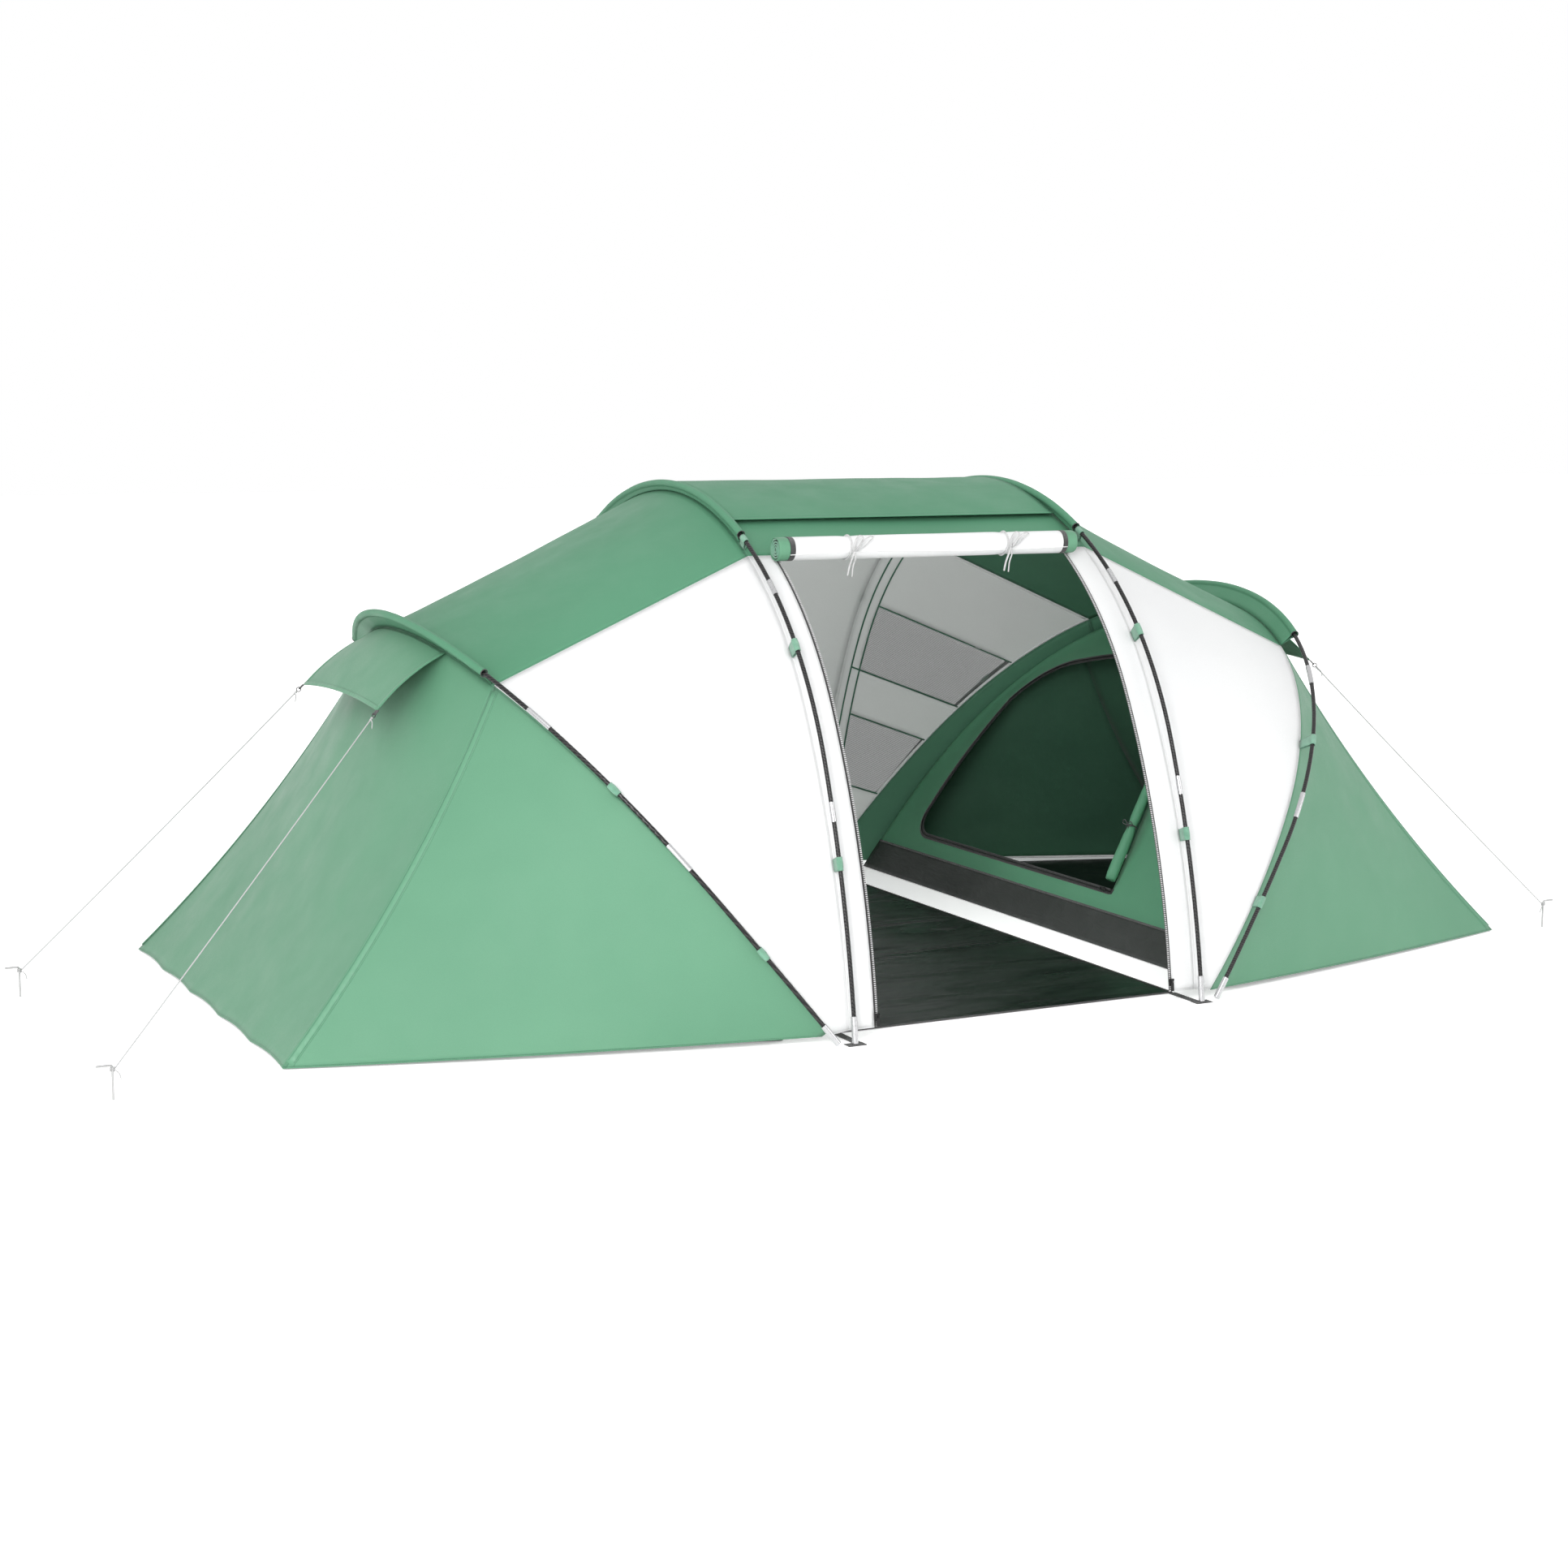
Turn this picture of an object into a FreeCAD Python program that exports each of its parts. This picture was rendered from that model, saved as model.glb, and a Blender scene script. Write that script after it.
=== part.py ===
import FreeCAD, Part
import math
import os

# Two-room tunnel tent on four hoop poles. Millimetres, +Z up, origin on the ground under the middle.
# X runs along the tent, -Y is the door side, each "hoop" is a flat arch of jointed poles.

V = FreeCAD.Vector

# ---- driving dimensions -------------------------------------------------------------------
FOOT_Y = 1300.0            # half width between the hoop feet
CENTRE_X = 597.0           # the two upright hoops beside the door
CENTRE_RISE = 1540.0
END_X = 645.0              # feet of the two hoops that lean outwards
END_RISE = 1460.0          # measured in the leaning plane
END_LEAN = 37.7            # degrees from upright
CENTRE_BENDS = (7.0, 21.0)     # pole heading at the foot and at the knee, degrees from upright
END_BENDS = (9.0, 14.5)

POLE_R = 6.5
FERRULE_R = 8.0
TIP_R = 9.0
TIP_LENGTH = 80.0
BORE_R = 6.6
SLEEVE_BORE_R = 13.4       # the pole lies loose in its sleeve, against the inner side
SLEEVE_R = 15.0
SLEEVE_OUT = 4.0           # sleeve centre outwards of the pole's
WEB = 2.4                  # thickness of the doubled cloth from sleeve to roof seam
CENTRE_JOINTS = (664.0, 1400.0, 2232.0, 3064.0, 3800.0)    # ferrule middles along the hoop
END_JOINTS = (714.0, 1287.0, 2168.5, 3050.0, 3623.0)
CENTRE_FERRULE = 57.0
END_FERRULE = 94.0
CENTRE_CLIPS = (514.0, 1180.0)     # clip middles from either foot
END_CLIPS = (352.0, 977.0)
CENTRE_SLEEVE = 1660.0     # where the pole enters the sleeve, from either foot
END_SLEEVE = 1536.0
CLIP_LENGTH = 40.0
CLIP_CLOTH = 2.8
CLIP_WALL = 2.2            # webbing loop round the pole
CLIP_LOOSE = 0.4
CLOTH_GAP = 1.5            # webs and clips stop this short of the panels' middle
BESIDE = (-170, 60)        # how far along the cloth arch the spot beside a pole's point can lie

SHEET = 3.0                # modelled cloth thickness
SEAM = 2.2                 # half of the gap between neighbouring panels
CLOTH_Y = FOOT_Y - 36.5    # the cloth hangs inside the poles, in an arch of its own
CENTRE_CLOTH_RISE = 1519.0
CENTRE_CLOTH_BENDS = (5.7, 28.0)
END_CLOTH_X = 635.0
END_CLOTH_LEAN = 37.8
END_CLOTH_RISE = 1404.0
END_CLOTH_BENDS = (3.2, 22.6)
HEM_S = 32.0               # the cloth stops this far up at the hoop feet
CENTRE_ROOF_S = 1547.0     # green roof meets white walls, along the cloth arch
END_ROOF_S = 1490.0
ZIP_X = 508.0
ZIP_WIDTH = 11.0
ZIP_TOP_S = 1532.0
SLIDER_S = 62.0            # parked door sliders
COVER_S = 1734.0           # front edge of the rain cover over the crown
COVER_HALF = CENTRE_X - 17.5
COVER_LIFT = 29.0          # above the roof at the crown
COVER_SEWN = 4.5           # along its back edge
COVER_FREE = 15.0          # along its front edge

CORNER_X = 2130.0          # pegged corners of the end cones
CORNER_Y = 860.0
HEM_LOW = 3.0
HEM_FOOT = (672.0, -1238.0, 17.0)
HEM_BOW = 22.0
CONE_SEAM_S = 1488.0       # seam between gusset and end panel, along the cloth arch
SEAM_SAG = 42.0
END_SAG = 54.0

VISOR_ROOT_S = 1738.0
VISOR_X = 1685.0
VISOR_Y = 377.0
VISOR_Z = 913.0
VISOR_ARCH = 19.0

# openings: window bands are fractions of the wall's length up from the ground
WINDOW_BANDS = ((0.220, 0.413), (0.540, 0.735))
WINDOW_LEFT = 78.0
WINDOW_RIGHT = 14.0
MESH_GAP = 1.5             # mesh stays this far inside its opening
MESH_FACES = (-1.0, -2.4)  # its two faces, from the cloth's outer one
VENT_CLEAR = 500.0
VENT_BAND = (0.050, 0.135)

ROOM_X = 765.0             # foot of the leaning bedroom wall
ROOM_LEAN = 34.0
ROOM_HALF = 1175.0
ROOM_RISE = 1285.0
ROOM_BENDS = (5.0, 9.0)
ROOM_END_X = 2030.0
ROOM_END_Y = 800.0
MUDWALL = 118.0
SILL = 199.0               # foot of the bedroom doorway
DOOR_BAND = 14.0           # width of the bedroom door's zip band
BEDROOM_SLIDER_Y = -342.0
CANOPY_BEHIND = 14.0       # inner canopy, behind the bedroom wall
CANOPY_FOOT = (ROOM_X + 50.0, -ROOM_HALF + 12.0, 24.0)
CANOPY_CORNER_Z = 9.0
CANOPY_SEAM_S = 1270.0
CANOPY_SAGS = (44.0, 56.0)     # at the seams and in the middle of the end
CANOPY_BOW = 6.0
ROLL_ENDS = ((-386.0, 226.0), (-211.0, 1060.0))    # rolled bedroom door, in the wall's plane
ROLL_SHIFT = 27.0          # rolled bedroom door, off its wall
ROLL_R = 19.0

SHEET_X = 585.0            # groundsheet
SHEET_Y = 1160.0

DOOR_ROLL_Y = -638.0
DOOR_ROLL_Z = 1364.0
DOOR_ROLL_R = 36.0
DOOR_ROLL_HALF = 530.0

ROPE_R = 1.9
PEG_R = 3.2
PEG_HEIGHT = 92.0
PEG_HOOK = 42.0
# pegs stand where the ropes reach the ground: front left, back left, front right, back right
PEGS = ((-2610.0, -963.0), (-2606.0, 342.0), (2330.0, -886.0), (2330.0, 420.0))
ROPE_SAG = 9.0
ROPE_BELOW_TOP = 10.0      # the rope sits round the peg just under its hook
LOOP_REACH = 34.0          # from the visor's corner to the start of the rope

OUTSIDE_FROM = V(0, 0, 400)    # a point inside the tent, to tell outer faces from inner ones


# ---- arches -------------------------------------------------------------------------------
def make_arch(half_span, rise, bends):
    """Half arch of two tangent arcs: from the foot heading to the knee, then on to level at the crown."""
    start, knee = (math.radians(b) for b in bends)
    a = math.cos(start) - math.cos(knee)
    b = math.cos(knee)
    c = math.sin(knee) - math.sin(start)
    d = 1 - math.sin(knee)
    det = a * d - b * c
    lower = (half_span * d - b * rise) / det
    upper = (a * rise - c * half_span) / det
    knee_s = lower * (knee - start)
    half = knee_s + upper * (math.pi / 2 - knee)
    return {"span": half_span, "start": start, "knee": knee, "lower": lower,
            "upper": upper, "knee_s": knee_s, "length": 2 * half}


def arch_at(arch, s):
    """Place (y, height) and heading, s along the arch from the front foot."""
    far = s > arch["length"] / 2
    d = arch["length"] - s if far else s
    if d <= arch["knee_s"]:
        heading = arch["start"] + d / arch["lower"]
        y = -arch["span"] + arch["lower"] * (math.cos(arch["start"]) - math.cos(heading))
        w = arch["lower"] * (math.sin(heading) - math.sin(arch["start"]))
    else:
        heading = arch["knee"] + (d - arch["knee_s"]) / arch["upper"]
        y, w = arch_at_knee(arch)
        y += arch["upper"] * (math.cos(arch["knee"]) - math.cos(heading))
        w += arch["upper"] * (math.sin(heading) - math.sin(arch["knee"]))
    return (-y, w, math.pi - heading) if far else (y, w, heading)


def arch_at_knee(arch):
    y = -arch["span"] + arch["lower"] * (math.cos(arch["start"]) - math.cos(arch["knee"]))
    w = arch["lower"] * (math.sin(arch["knee"]) - math.sin(arch["start"]))
    return y, w


CENTRE = {"planes": {"pole": (CENTRE_X, 0.0), "cloth": (CENTRE_X, 0.0)},
          "pole": make_arch(FOOT_Y, CENTRE_RISE, CENTRE_BENDS),
          "cloth": make_arch(CLOTH_Y, CENTRE_CLOTH_RISE, CENTRE_CLOTH_BENDS),
          "joints": CENTRE_JOINTS, "ferrule": CENTRE_FERRULE, "clips": CENTRE_CLIPS,
          "sleeve": CENTRE_SLEEVE, "foot": 3.0}
END = {"planes": {"pole": (END_X, math.radians(END_LEAN)),
                  "cloth": (END_CLOTH_X, math.radians(END_CLOTH_LEAN))},
       "pole": make_arch(FOOT_Y, END_RISE, END_BENDS),
       "cloth": make_arch(CLOTH_Y, END_CLOTH_RISE, END_CLOTH_BENDS),
       "joints": END_JOINTS, "ferrule": END_FERRULE, "clips": END_CLIPS,
       "sleeve": END_SLEEVE, "foot": 10.0}
ROOM = {"planes": {"cloth": (ROOM_X, math.radians(ROOM_LEAN))},
        "cloth": make_arch(ROOM_HALF, ROOM_RISE, ROOM_BENDS)}


def in_plane(hoop, side, kind, y, w):
    """Point of a hoop's leaning plane, w up the plane from its foot line."""
    x, lean = hoop["planes"][kind]
    return V(side * (x + w * math.sin(lean)), y, w * math.cos(lean))


def on_arch(hoop, side, kind, s):
    y, w, _ = arch_at(hoop[kind], s)
    return in_plane(hoop, side, kind, y, w)


def frame_on_arch(hoop, side, kind, s):
    """Point, tangent and inward normal of an arch."""
    y, w, heading = arch_at(hoop[kind], s)
    foot = in_plane(hoop, side, kind, 0, 0)
    tangent = in_plane(hoop, side, kind, math.sin(heading), math.cos(heading)) - foot
    inward = in_plane(hoop, side, kind, math.cos(heading), -math.sin(heading)) - foot
    return in_plane(hoop, side, kind, y, w), tangent, inward


# ---- poles --------------------------------------------------------------------------------
def beside_pole(hoop, side, s, out):
    """Point beside the pole's centre line, `out` away from the tent."""
    point, _, inward = frame_on_arch(hoop, side, "pole", s)
    return point - inward * out


def arch_wire(hoop, side, s0, s1, out):
    """Arcs of the pole's centre line from s0 to s1, or of a line `out` outside it."""
    pole = hoop["pole"]
    knees = (pole["knee_s"], pole["length"] / 2, pole["length"] - pole["knee_s"])
    stops = [s0] + [k for k in knees if s0 + 1 < k < s1 - 1] + [s1]
    edges = []
    for a, b in zip(stops, stops[1:]):
        points = [beside_pole(hoop, side, s, out) for s in (a, (a + b) / 2, b)]
        edges.append(Part.Arc(*points).toShape())
    return Part.Wire(edges)


def rod(hoop, side, s0, s1, radius, out=0.0):
    _, tangent, _ = frame_on_arch(hoop, side, "pole", s0)
    profile = Part.Wire(Part.makeCircle(radius, beside_pole(hoop, side, s0, out), tangent))
    return arch_wire(hoop, side, s0, s1, out).makePipeShell([profile], True, False)


def tube(hoop, side, s0, s1, radius, bore, out=0.0):
    return rod(hoop, side, s0, s1, radius, out).cut(rod(hoop, side, s0, s1, bore, out))


def pole_sections(hoop, side):
    """Glass-fibre sections that butt inside the ferrules."""
    length = hoop["pole"]["length"]
    first = hoop["foot"] + 6
    stops = [first] + list(hoop["joints"]) + [length - first]
    return [rod(hoop, side, a + 0.5, b - 0.5, POLE_R) for a, b in zip(stops, stops[1:])]


def ferrules(hoop, side):
    half = hoop["ferrule"] / 2
    return [tube(hoop, side, s - half, s + half, FERRULE_R, BORE_R) for s in hoop["joints"]]


def foot_tips(hoop, side):
    """Metal caps on both feet, bored for the pole."""
    length = hoop["pole"]["length"]
    tips = []
    for s0, s1, b0, b1 in ((hoop["foot"], TIP_LENGTH, hoop["foot"] + 6, TIP_LENGTH),
                           (length - TIP_LENGTH, length - hoop["foot"],
                            length - TIP_LENGTH, length - hoop["foot"] - 6)):
        tips.append(rod(hoop, side, s0, s1, TIP_R).cut(rod(hoop, side, b0, b1, BORE_R)))
    return tips


def sleeve(hoop, side):
    """Open-ended tunnel round the pole, on a web of doubled cloth that stands up from the roof seam."""
    length = hoop["pole"]["length"]
    tunnel = tube(hoop, side, hoop["sleeve"], length - hoop["sleeve"], SLEEVE_R, SLEEVE_BORE_R, SLEEVE_OUT)
    return tunnel.fuse(sheet_solid(sleeve_web(hoop, side), 2, 16, WEB / 2, -WEB / 2))


def nearest_cloth_s(hoop, side, s):
    """Length along the cloth arch next to a point of the pole."""
    point = on_arch(hoop, side, "pole", s)
    around = range(int(s) + BESIDE[0], int(s) + BESIDE[1])
    return min(around, key=lambda t: (on_arch(hoop, side, "cloth", t) - point).Length)


def sleeve_web(hoop, side):
    pole_end = hoop["pole"]["length"]
    cloth_end = hoop["cloth"]["length"]
    first = hoop["sleeve"]
    cloth_first = nearest_cloth_s(hoop, side, first)
    into_tunnel = (SLEEVE_BORE_R + SLEEVE_R) / 2 - SLEEVE_OUT

    def point_at(u, v):
        high = beside_pole(hoop, side, first + (pole_end - 2 * first) * v, -into_tunnel)
        low = on_arch(hoop, side, "cloth", cloth_first + (cloth_end - 2 * cloth_first) * v)
        low = low + (high - low).normalize() * CLOTH_GAP
        return high + (low - high) * u
    return point_at


def pole_clip(hoop, side, s):
    """Webbing loop round the pole with a tongue down to the cloth."""
    point, tangent, _ = frame_on_arch(hoop, side, "pole", s)
    base = point - tangent * (CLIP_LENGTH / 2)
    bore = POLE_R + CLIP_LOOSE
    loop = Part.makeCylinder(bore + CLIP_WALL, CLIP_LENGTH, base, tangent)
    loop = loop.cut(Part.makeCylinder(bore, CLIP_LENGTH, base, tangent))
    seam = on_arch(hoop, side, "cloth", nearest_cloth_s(hoop, side, s))
    down = (seam - point).normalize()
    half = down.cross(tangent).normalize() * (CLIP_CLOTH / 2)
    top = base + down * (bore + CLIP_WALL / 2)
    low = base + down * ((seam - point).Length - CLOTH_GAP)
    tongue = Part.Face(Part.makePolygon([top - half, top + half, low + half, low - half, top - half]))
    tongue = tongue.extrude(tangent * CLIP_LENGTH)
    return loop.fuse(tongue)


def pole_clips(hoop, side):
    length = hoop["pole"]["length"]
    places = list(hoop["clips"]) + [length - s for s in hoop["clips"]]
    return [pole_clip(hoop, side, s) for s in places]


# ---- cloth --------------------------------------------------------------------------------
def outward_normal(point_at, u, v):
    h = 0.004
    du = point_at(min(u + h, 1), v) - point_at(max(u - h, 0), v)
    dv = point_at(u, min(v + h, 1)) - point_at(u, max(v - h, 0))
    normal = du.cross(dv).normalize()
    return normal if normal.dot(point_at(u, v) - OUTSIDE_FROM) > 0 else -normal


def sheet_solid(point_at, rows, columns, outer=0.0, inner=-SHEET):
    """Closed sheet between two offsets of the surface point_at(u, v), u and v from 0 to 1."""
    surfaces = []
    for offset in (outer, inner):
        grid = []
        for i in range(rows + 1):
            spots = [(i / rows, j / columns) for j in range(columns + 1)]
            grid.append([point_at(u, v) + outward_normal(point_at, u, v) * offset for u, v in spots])
        surface = Part.BSplineSurface()
        surface.interpolate(grid)
        surfaces.append(surface)
    faces = [surface.toShape() for surface in surfaces]
    u0, u1, v0, v1 = surfaces[0].bounds()
    s0, s1, t0, t1 = surfaces[1].bounds()
    outside, inside = surfaces
    rims = [(outside.uIso(a).toShape(), inside.uIso(b).toShape()) for a, b in ((u0, s0), (u1, s1))]
    rims += [(outside.vIso(a).toShape(), inside.vIso(b).toShape()) for a, b in ((v0, t0), (v1, t1))]
    faces += [Part.makeRuledSurface(top, bottom) for top, bottom in rims]
    shell = Part.Shell(faces)
    shell.sewShape()
    solid = Part.Solid(shell)
    return solid if solid.Volume > 0 else solid.reversed()


def mirrored(shape_or_point, back):
    """The door side's shape, or its copy on the far side of the tent."""
    if not back:
        return shape_or_point
    return V(shape_or_point.x, -shape_or_point.y, shape_or_point.z)


def tunnel_panel(x0, x1, s0, s1):
    """Part of the middle tunnel between two lengths along the cloth arch."""
    def point_at(u, v):
        y, w, _ = arch_at(CENTRE["cloth"], s0 + (s1 - s0) * v)
        return V(x0 + (x1 - x0) * u, y, w)
    return point_at


def sector(side, back, centre_s, end_s):
    """Straight-lined surface between the upright and the leaning arch, v along both arches."""
    def point_at(u, v):
        a = on_arch(CENTRE, side, "cloth", centre_s[0] + (centre_s[1] - centre_s[0]) * v)
        b = on_arch(END, side, "cloth", end_s[0] + (end_s[1] - end_s[0]) * v)
        gap = (b - a).normalize() * SEAM
        return mirrored(a + gap + (b - a - gap * 2) * u, back)
    return point_at


def narrowed(point_at, left, right, v0, v1):
    """Piece of a surface: left and right are widths in millimetres kept clear of its two sides."""
    def part_at(u, v):
        t = v0 + (v1 - v0) * v
        width = (point_at(1, t) - point_at(0, t)).Length
        a = left / width
        b = 1 - right / width
        return point_at(a + (b - a) * u, t)
    return part_at


def wall_panel(side, back):
    return sector(side, back, (HEM_S, CENTRE_ROOF_S - SEAM), (HEM_S, END_ROOF_S - SEAM))


def roof_band(side):
    centre_end = CENTRE["cloth"]["length"] - CENTRE_ROOF_S
    end_end = END["cloth"]["length"] - END_ROOF_S
    return sector(side, False, (CENTRE_ROOF_S + SEAM, centre_end - SEAM),
                  (END_ROOF_S + SEAM, end_end - SEAM))


def window_hole(side, band):
    patch = narrowed(wall_panel(side, True), WINDOW_LEFT, WINDOW_RIGHT, *band)
    return sheet_solid(patch, 2, 6, 9.0, -12.0)


def window_mesh(side, band):
    low, high = band
    inset = MESH_GAP / END_ROOF_S * 1.15
    patch = narrowed(wall_panel(side, True), WINDOW_LEFT + MESH_GAP, WINDOW_RIGHT + MESH_GAP,
                     low + inset, high - inset)
    return sheet_solid(patch, 2, 6, *MESH_FACES)


def cone_sag(side):
    """Direction in which the end cones sag: square to the fall line, towards the inside."""
    crown = on_arch(END, side, "cloth", END["cloth"]["length"] / 2)
    fall = V(side * CORNER_X, 0, 0) - crown
    return V(fall.z * side, 0, -fall.x * side).normalize()


def gusset(side, back, top, foot, corner, seam_s, sag, bow):
    """Triangle from the hoop's foot to the pegged corner, on one side of an end cone."""
    inwards = cone_sag(side)
    first_s = 45.0

    def point_at(u, v):
        t = 0.004 + 0.996 * v
        high = on_arch(top, side, "cloth", first_s + (seam_s - first_s) * t)
        low = V(*foot) + (V(*corner) - V(*foot)) * t + V(0, -bow * 4 * t * (1 - t), 0)
        low.x *= side
        across = low - high
        high = high + V(across).normalize() * SEAM
        return mirrored(high + (low - high) * u + inwards * (sag * 4 * u * (1 - u) * t), back)
    return point_at


def end_panel(side, top, corner, seam_s, seam_sag, middle_sag):
    """Middle of an end cone, from the hoop's crown to the hem between the pegged corners."""
    inwards = cone_sag(side)
    last_s = top["cloth"]["length"] - seam_s

    def point_at(u, v):
        edge = SEAM / 1000
        t = edge + (1 - 2 * edge) * v
        high = on_arch(top, side, "cloth", seam_s + (last_s - seam_s) * t)
        low = V(side * corner[0], corner[1] * (1 - 2 * t), corner[2])
        high = high + (low - high).normalize() * SEAM
        sag = seam_sag + (middle_sag - seam_sag) * 4 * t * (1 - t)
        return high + (low - high) * u + inwards * (sag * 4 * u * (1 - u))
    return point_at


def fly_gusset(side, back):
    corner = (CORNER_X, -CORNER_Y, HEM_LOW)
    return gusset(side, back, END, HEM_FOOT, corner, CONE_SEAM_S - SEAM, SEAM_SAG, HEM_BOW)


def fly_end(side):
    return end_panel(side, END, (CORNER_X, -CORNER_Y, HEM_LOW), CONE_SEAM_S, SEAM_SAG, END_SAG)


def vent_patch(side, clear):
    """Mesh vent across the end panel, under the visor."""
    whole = fly_end(side)

    def point_at(u, v):
        down = VENT_BAND[0] + clear / 1250 + (VENT_BAND[1] - VENT_BAND[0] - clear / 625) * u
        width = (whole(down, 1) - whole(down, 0)).Length
        a = (VENT_CLEAR + clear) / width
        return whole(down, a + (1 - 2 * a) * v)
    return point_at


def visor(side):
    """Small roof over the vent, held out by two guy ropes."""
    last_s = END["cloth"]["length"] - VISOR_ROOT_S

    def point_at(u, v):
        y = VISOR_Y * (2 * v - 1)
        root = on_arch(END, side, "cloth", VISOR_ROOT_S + (last_s - VISOR_ROOT_S) * v)
        tip = V(side * VISOR_X, y, VISOR_Z + VISOR_ARCH * (1 - (y / VISOR_Y) ** 2))
        root = root + (tip - root).normalize() * 10 + V(0, 0, 5)
        lift = 14.0 * 4 * u * (1 - u)
        return root + (tip - root) * u + V(side * 0.6, 0, 0.8) * lift
    return point_at


def rain_cover():
    """Second layer over the crown between the sleeves: sewn at the back, free along its front edge."""
    cloth = CENTRE["cloth"]
    back_s = cloth["length"] - COVER_S

    def point_at(u, v):
        y, w, heading = arch_at(cloth, back_s + (COVER_S - back_s) * v)
        rise = 4 * v * (1 - v)
        free = (COVER_FREE - COVER_SEWN) * v ** 4 * (1 - rise)
        lift = COVER_SEWN + (COVER_LIFT - COVER_SEWN) * rise + free
        return V(COVER_HALF * (2 * u - 1), y - math.cos(heading) * lift, w + math.sin(heading) * lift)
    return point_at


# ---- bedrooms -----------------------------------------------------------------------------
def plane_wire(side, pieces):
    """Closed outline in the bedroom wall's plane; three-point pieces are arcs, two-point ones lines."""
    edges = []
    for piece in pieces:
        points = [in_plane(ROOM, side, "cloth", y, w) for y, w in piece]
        curve = Part.Arc(*points) if len(points) == 3 else Part.LineSegment(*points)
        edges.append(curve.toShape())
    return Part.Wire(edges)


def plate(side, wire, out, back):
    """Plate on the bedroom wall's plane, from `out` on the room side to `back` behind it."""
    lean = math.radians(ROOM_LEAN)
    away = V(side * math.cos(lean), 0, -math.sin(lean))
    face = Part.Face(wire)
    face.translate(away * -out)
    return face.extrude(away * (out + back))


def arch_outline(low):
    """Bedroom wall outline above height `low` in its plane."""
    arch = ROOM["cloth"]
    crown = arch["length"] / 2
    start = next(s for s in range(0, 400) if arch_at(arch, s)[1] >= low)
    stops = (start, (start + arch["knee_s"]) / 2, arch["knee_s"], (arch["knee_s"] + crown) / 2, crown)
    left = [arch_at(arch, s)[:2] for s in stops]
    right = [(-y, w) for y, w in reversed(left)]
    return [left[0:3], left[2:5], right[0:3], right[2:5], [right[4], left[0]]]


def door_outline(grow):
    """D-shaped doorway in the wall, hinged along its nearly upright front side."""
    g = grow
    hinge_foot, hinge_top = (-381 - g, SILL - g), (-193 - g, 1099 + g)
    sill_end, back_foot = (864, SILL - g), (951 + g, 297)
    back_top, lintel = (828 + g * 0.9, 806 + g * 0.4), (517, 1010 + g)
    return [[hinge_foot, sill_end],
            [sill_end, (931 + g * 0.7, 228 - g * 0.7), back_foot],
            [back_foot, (915 + g, 545), back_top],
            [back_top, (699 + g * 0.6, 933 + g * 0.8), lintel],
            [lintel, (164, 1077 + g), hinge_top],
            [hinge_top, hinge_foot]]


def bedroom_wall(side):
    wall = plate(side, plane_wire(side, arch_outline(MUDWALL + 2)), 0, SHEET)
    return wall.cut(plate(side, plane_wire(side, door_outline(DOOR_BAND + 0.5)), 20, 20))


def bedroom_zip(side):
    """Zip band round the doorway, open along the hinged side."""
    band = plate(side, plane_wire(side, door_outline(DOOR_BAND)), 1.5, SHEET)
    band = band.cut(plate(side, plane_wire(side, door_outline(0)), 20, 20))
    low, high, clear = SILL + 14, 1073, -500
    corners = [(clear, low), (-377, low), (-197, high), (clear, high)]
    hinge = [[a, b] for a, b in zip(corners, corners[1:] + corners[:1])]
    return band.cut(plate(side, plane_wire(side, hinge), 20, 20))


def bedroom_tub(side):
    """Floor of the bedroom with the low black wall along its front."""
    outline = [(ROOM_X, -ROOM_HALF), (ROOM_END_X, -ROOM_END_Y)]
    outline += [(x, -y) for x, y in reversed(outline)]
    points = [V(side * x, y, 0) for x, y in outline]
    floor = Part.Face(Part.makePolygon(points + [points[0]])).extrude(V(0, 0, SHEET))
    low = arch_at(ROOM["cloth"], 5)[:2]
    high = arch_at(ROOM["cloth"], MUDWALL)[:2]
    corners = [low, high, (-high[0], high[1]), (-low[0], low[1])]
    sides = [[a, b] for a, b in zip(corners, corners[1:] + corners[:1])]
    upstand = plate(side, plane_wire(side, sides), 0, SHEET)
    return floor.fuse(upstand).removeSplitter()


def bedroom_canopy(side):
    """Inner tent behind the wall: two gussets and an end panel, hung inside the end cone."""
    shell = dict(ROOM, planes={"cloth": (ROOM_X + CANOPY_BEHIND, math.radians(ROOM_LEAN))})
    corner = (ROOM_END_X, -ROOM_END_Y, CANOPY_CORNER_Z)
    seam_sag, middle_sag = CANOPY_SAGS
    solids = []
    for back in (False, True):
        panel = gusset(side, back, shell, CANOPY_FOOT, corner, CANOPY_SEAM_S - SEAM, seam_sag, CANOPY_BOW)
        solids.append(sheet_solid(panel, 6, 12))
    end = end_panel(side, shell, corner, CANOPY_SEAM_S, seam_sag, middle_sag)
    solids.append(sheet_solid(end, 6, 10))
    return solids


def bedroom_roll(side):
    """Door of the bedroom, rolled and tied along its hinged side."""
    lean = math.radians(ROOM_LEAN)
    towards = V(-side * math.cos(lean), 0, math.sin(lean))
    low, high = [in_plane(ROOM, side, "cloth", y, w) + towards * ROLL_SHIFT for y, w in ROLL_ENDS]
    return Part.makeCylinder(ROLL_R, (high - low).Length, low, high - low)


# ---- zips ---------------------------------------------------------------------------------
def block(origin, along, across, out, size, offset):
    """Rounded box: size and offset are given along, across and out from a surface point."""
    corner = origin
    for axis, length, shift in zip((along, across, out), size, offset):
        corner = corner + axis * (shift - length / 2)
    a, b, c = (axis * length for axis, length in zip((along, across, out), size))
    face = Part.Face(Part.makePolygon([corner, corner + a, corner + a + b, corner + b, corner]))
    solid = face.extrude(c)
    return solid.makeFillet(min(size) * 0.22, solid.Edges)


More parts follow.
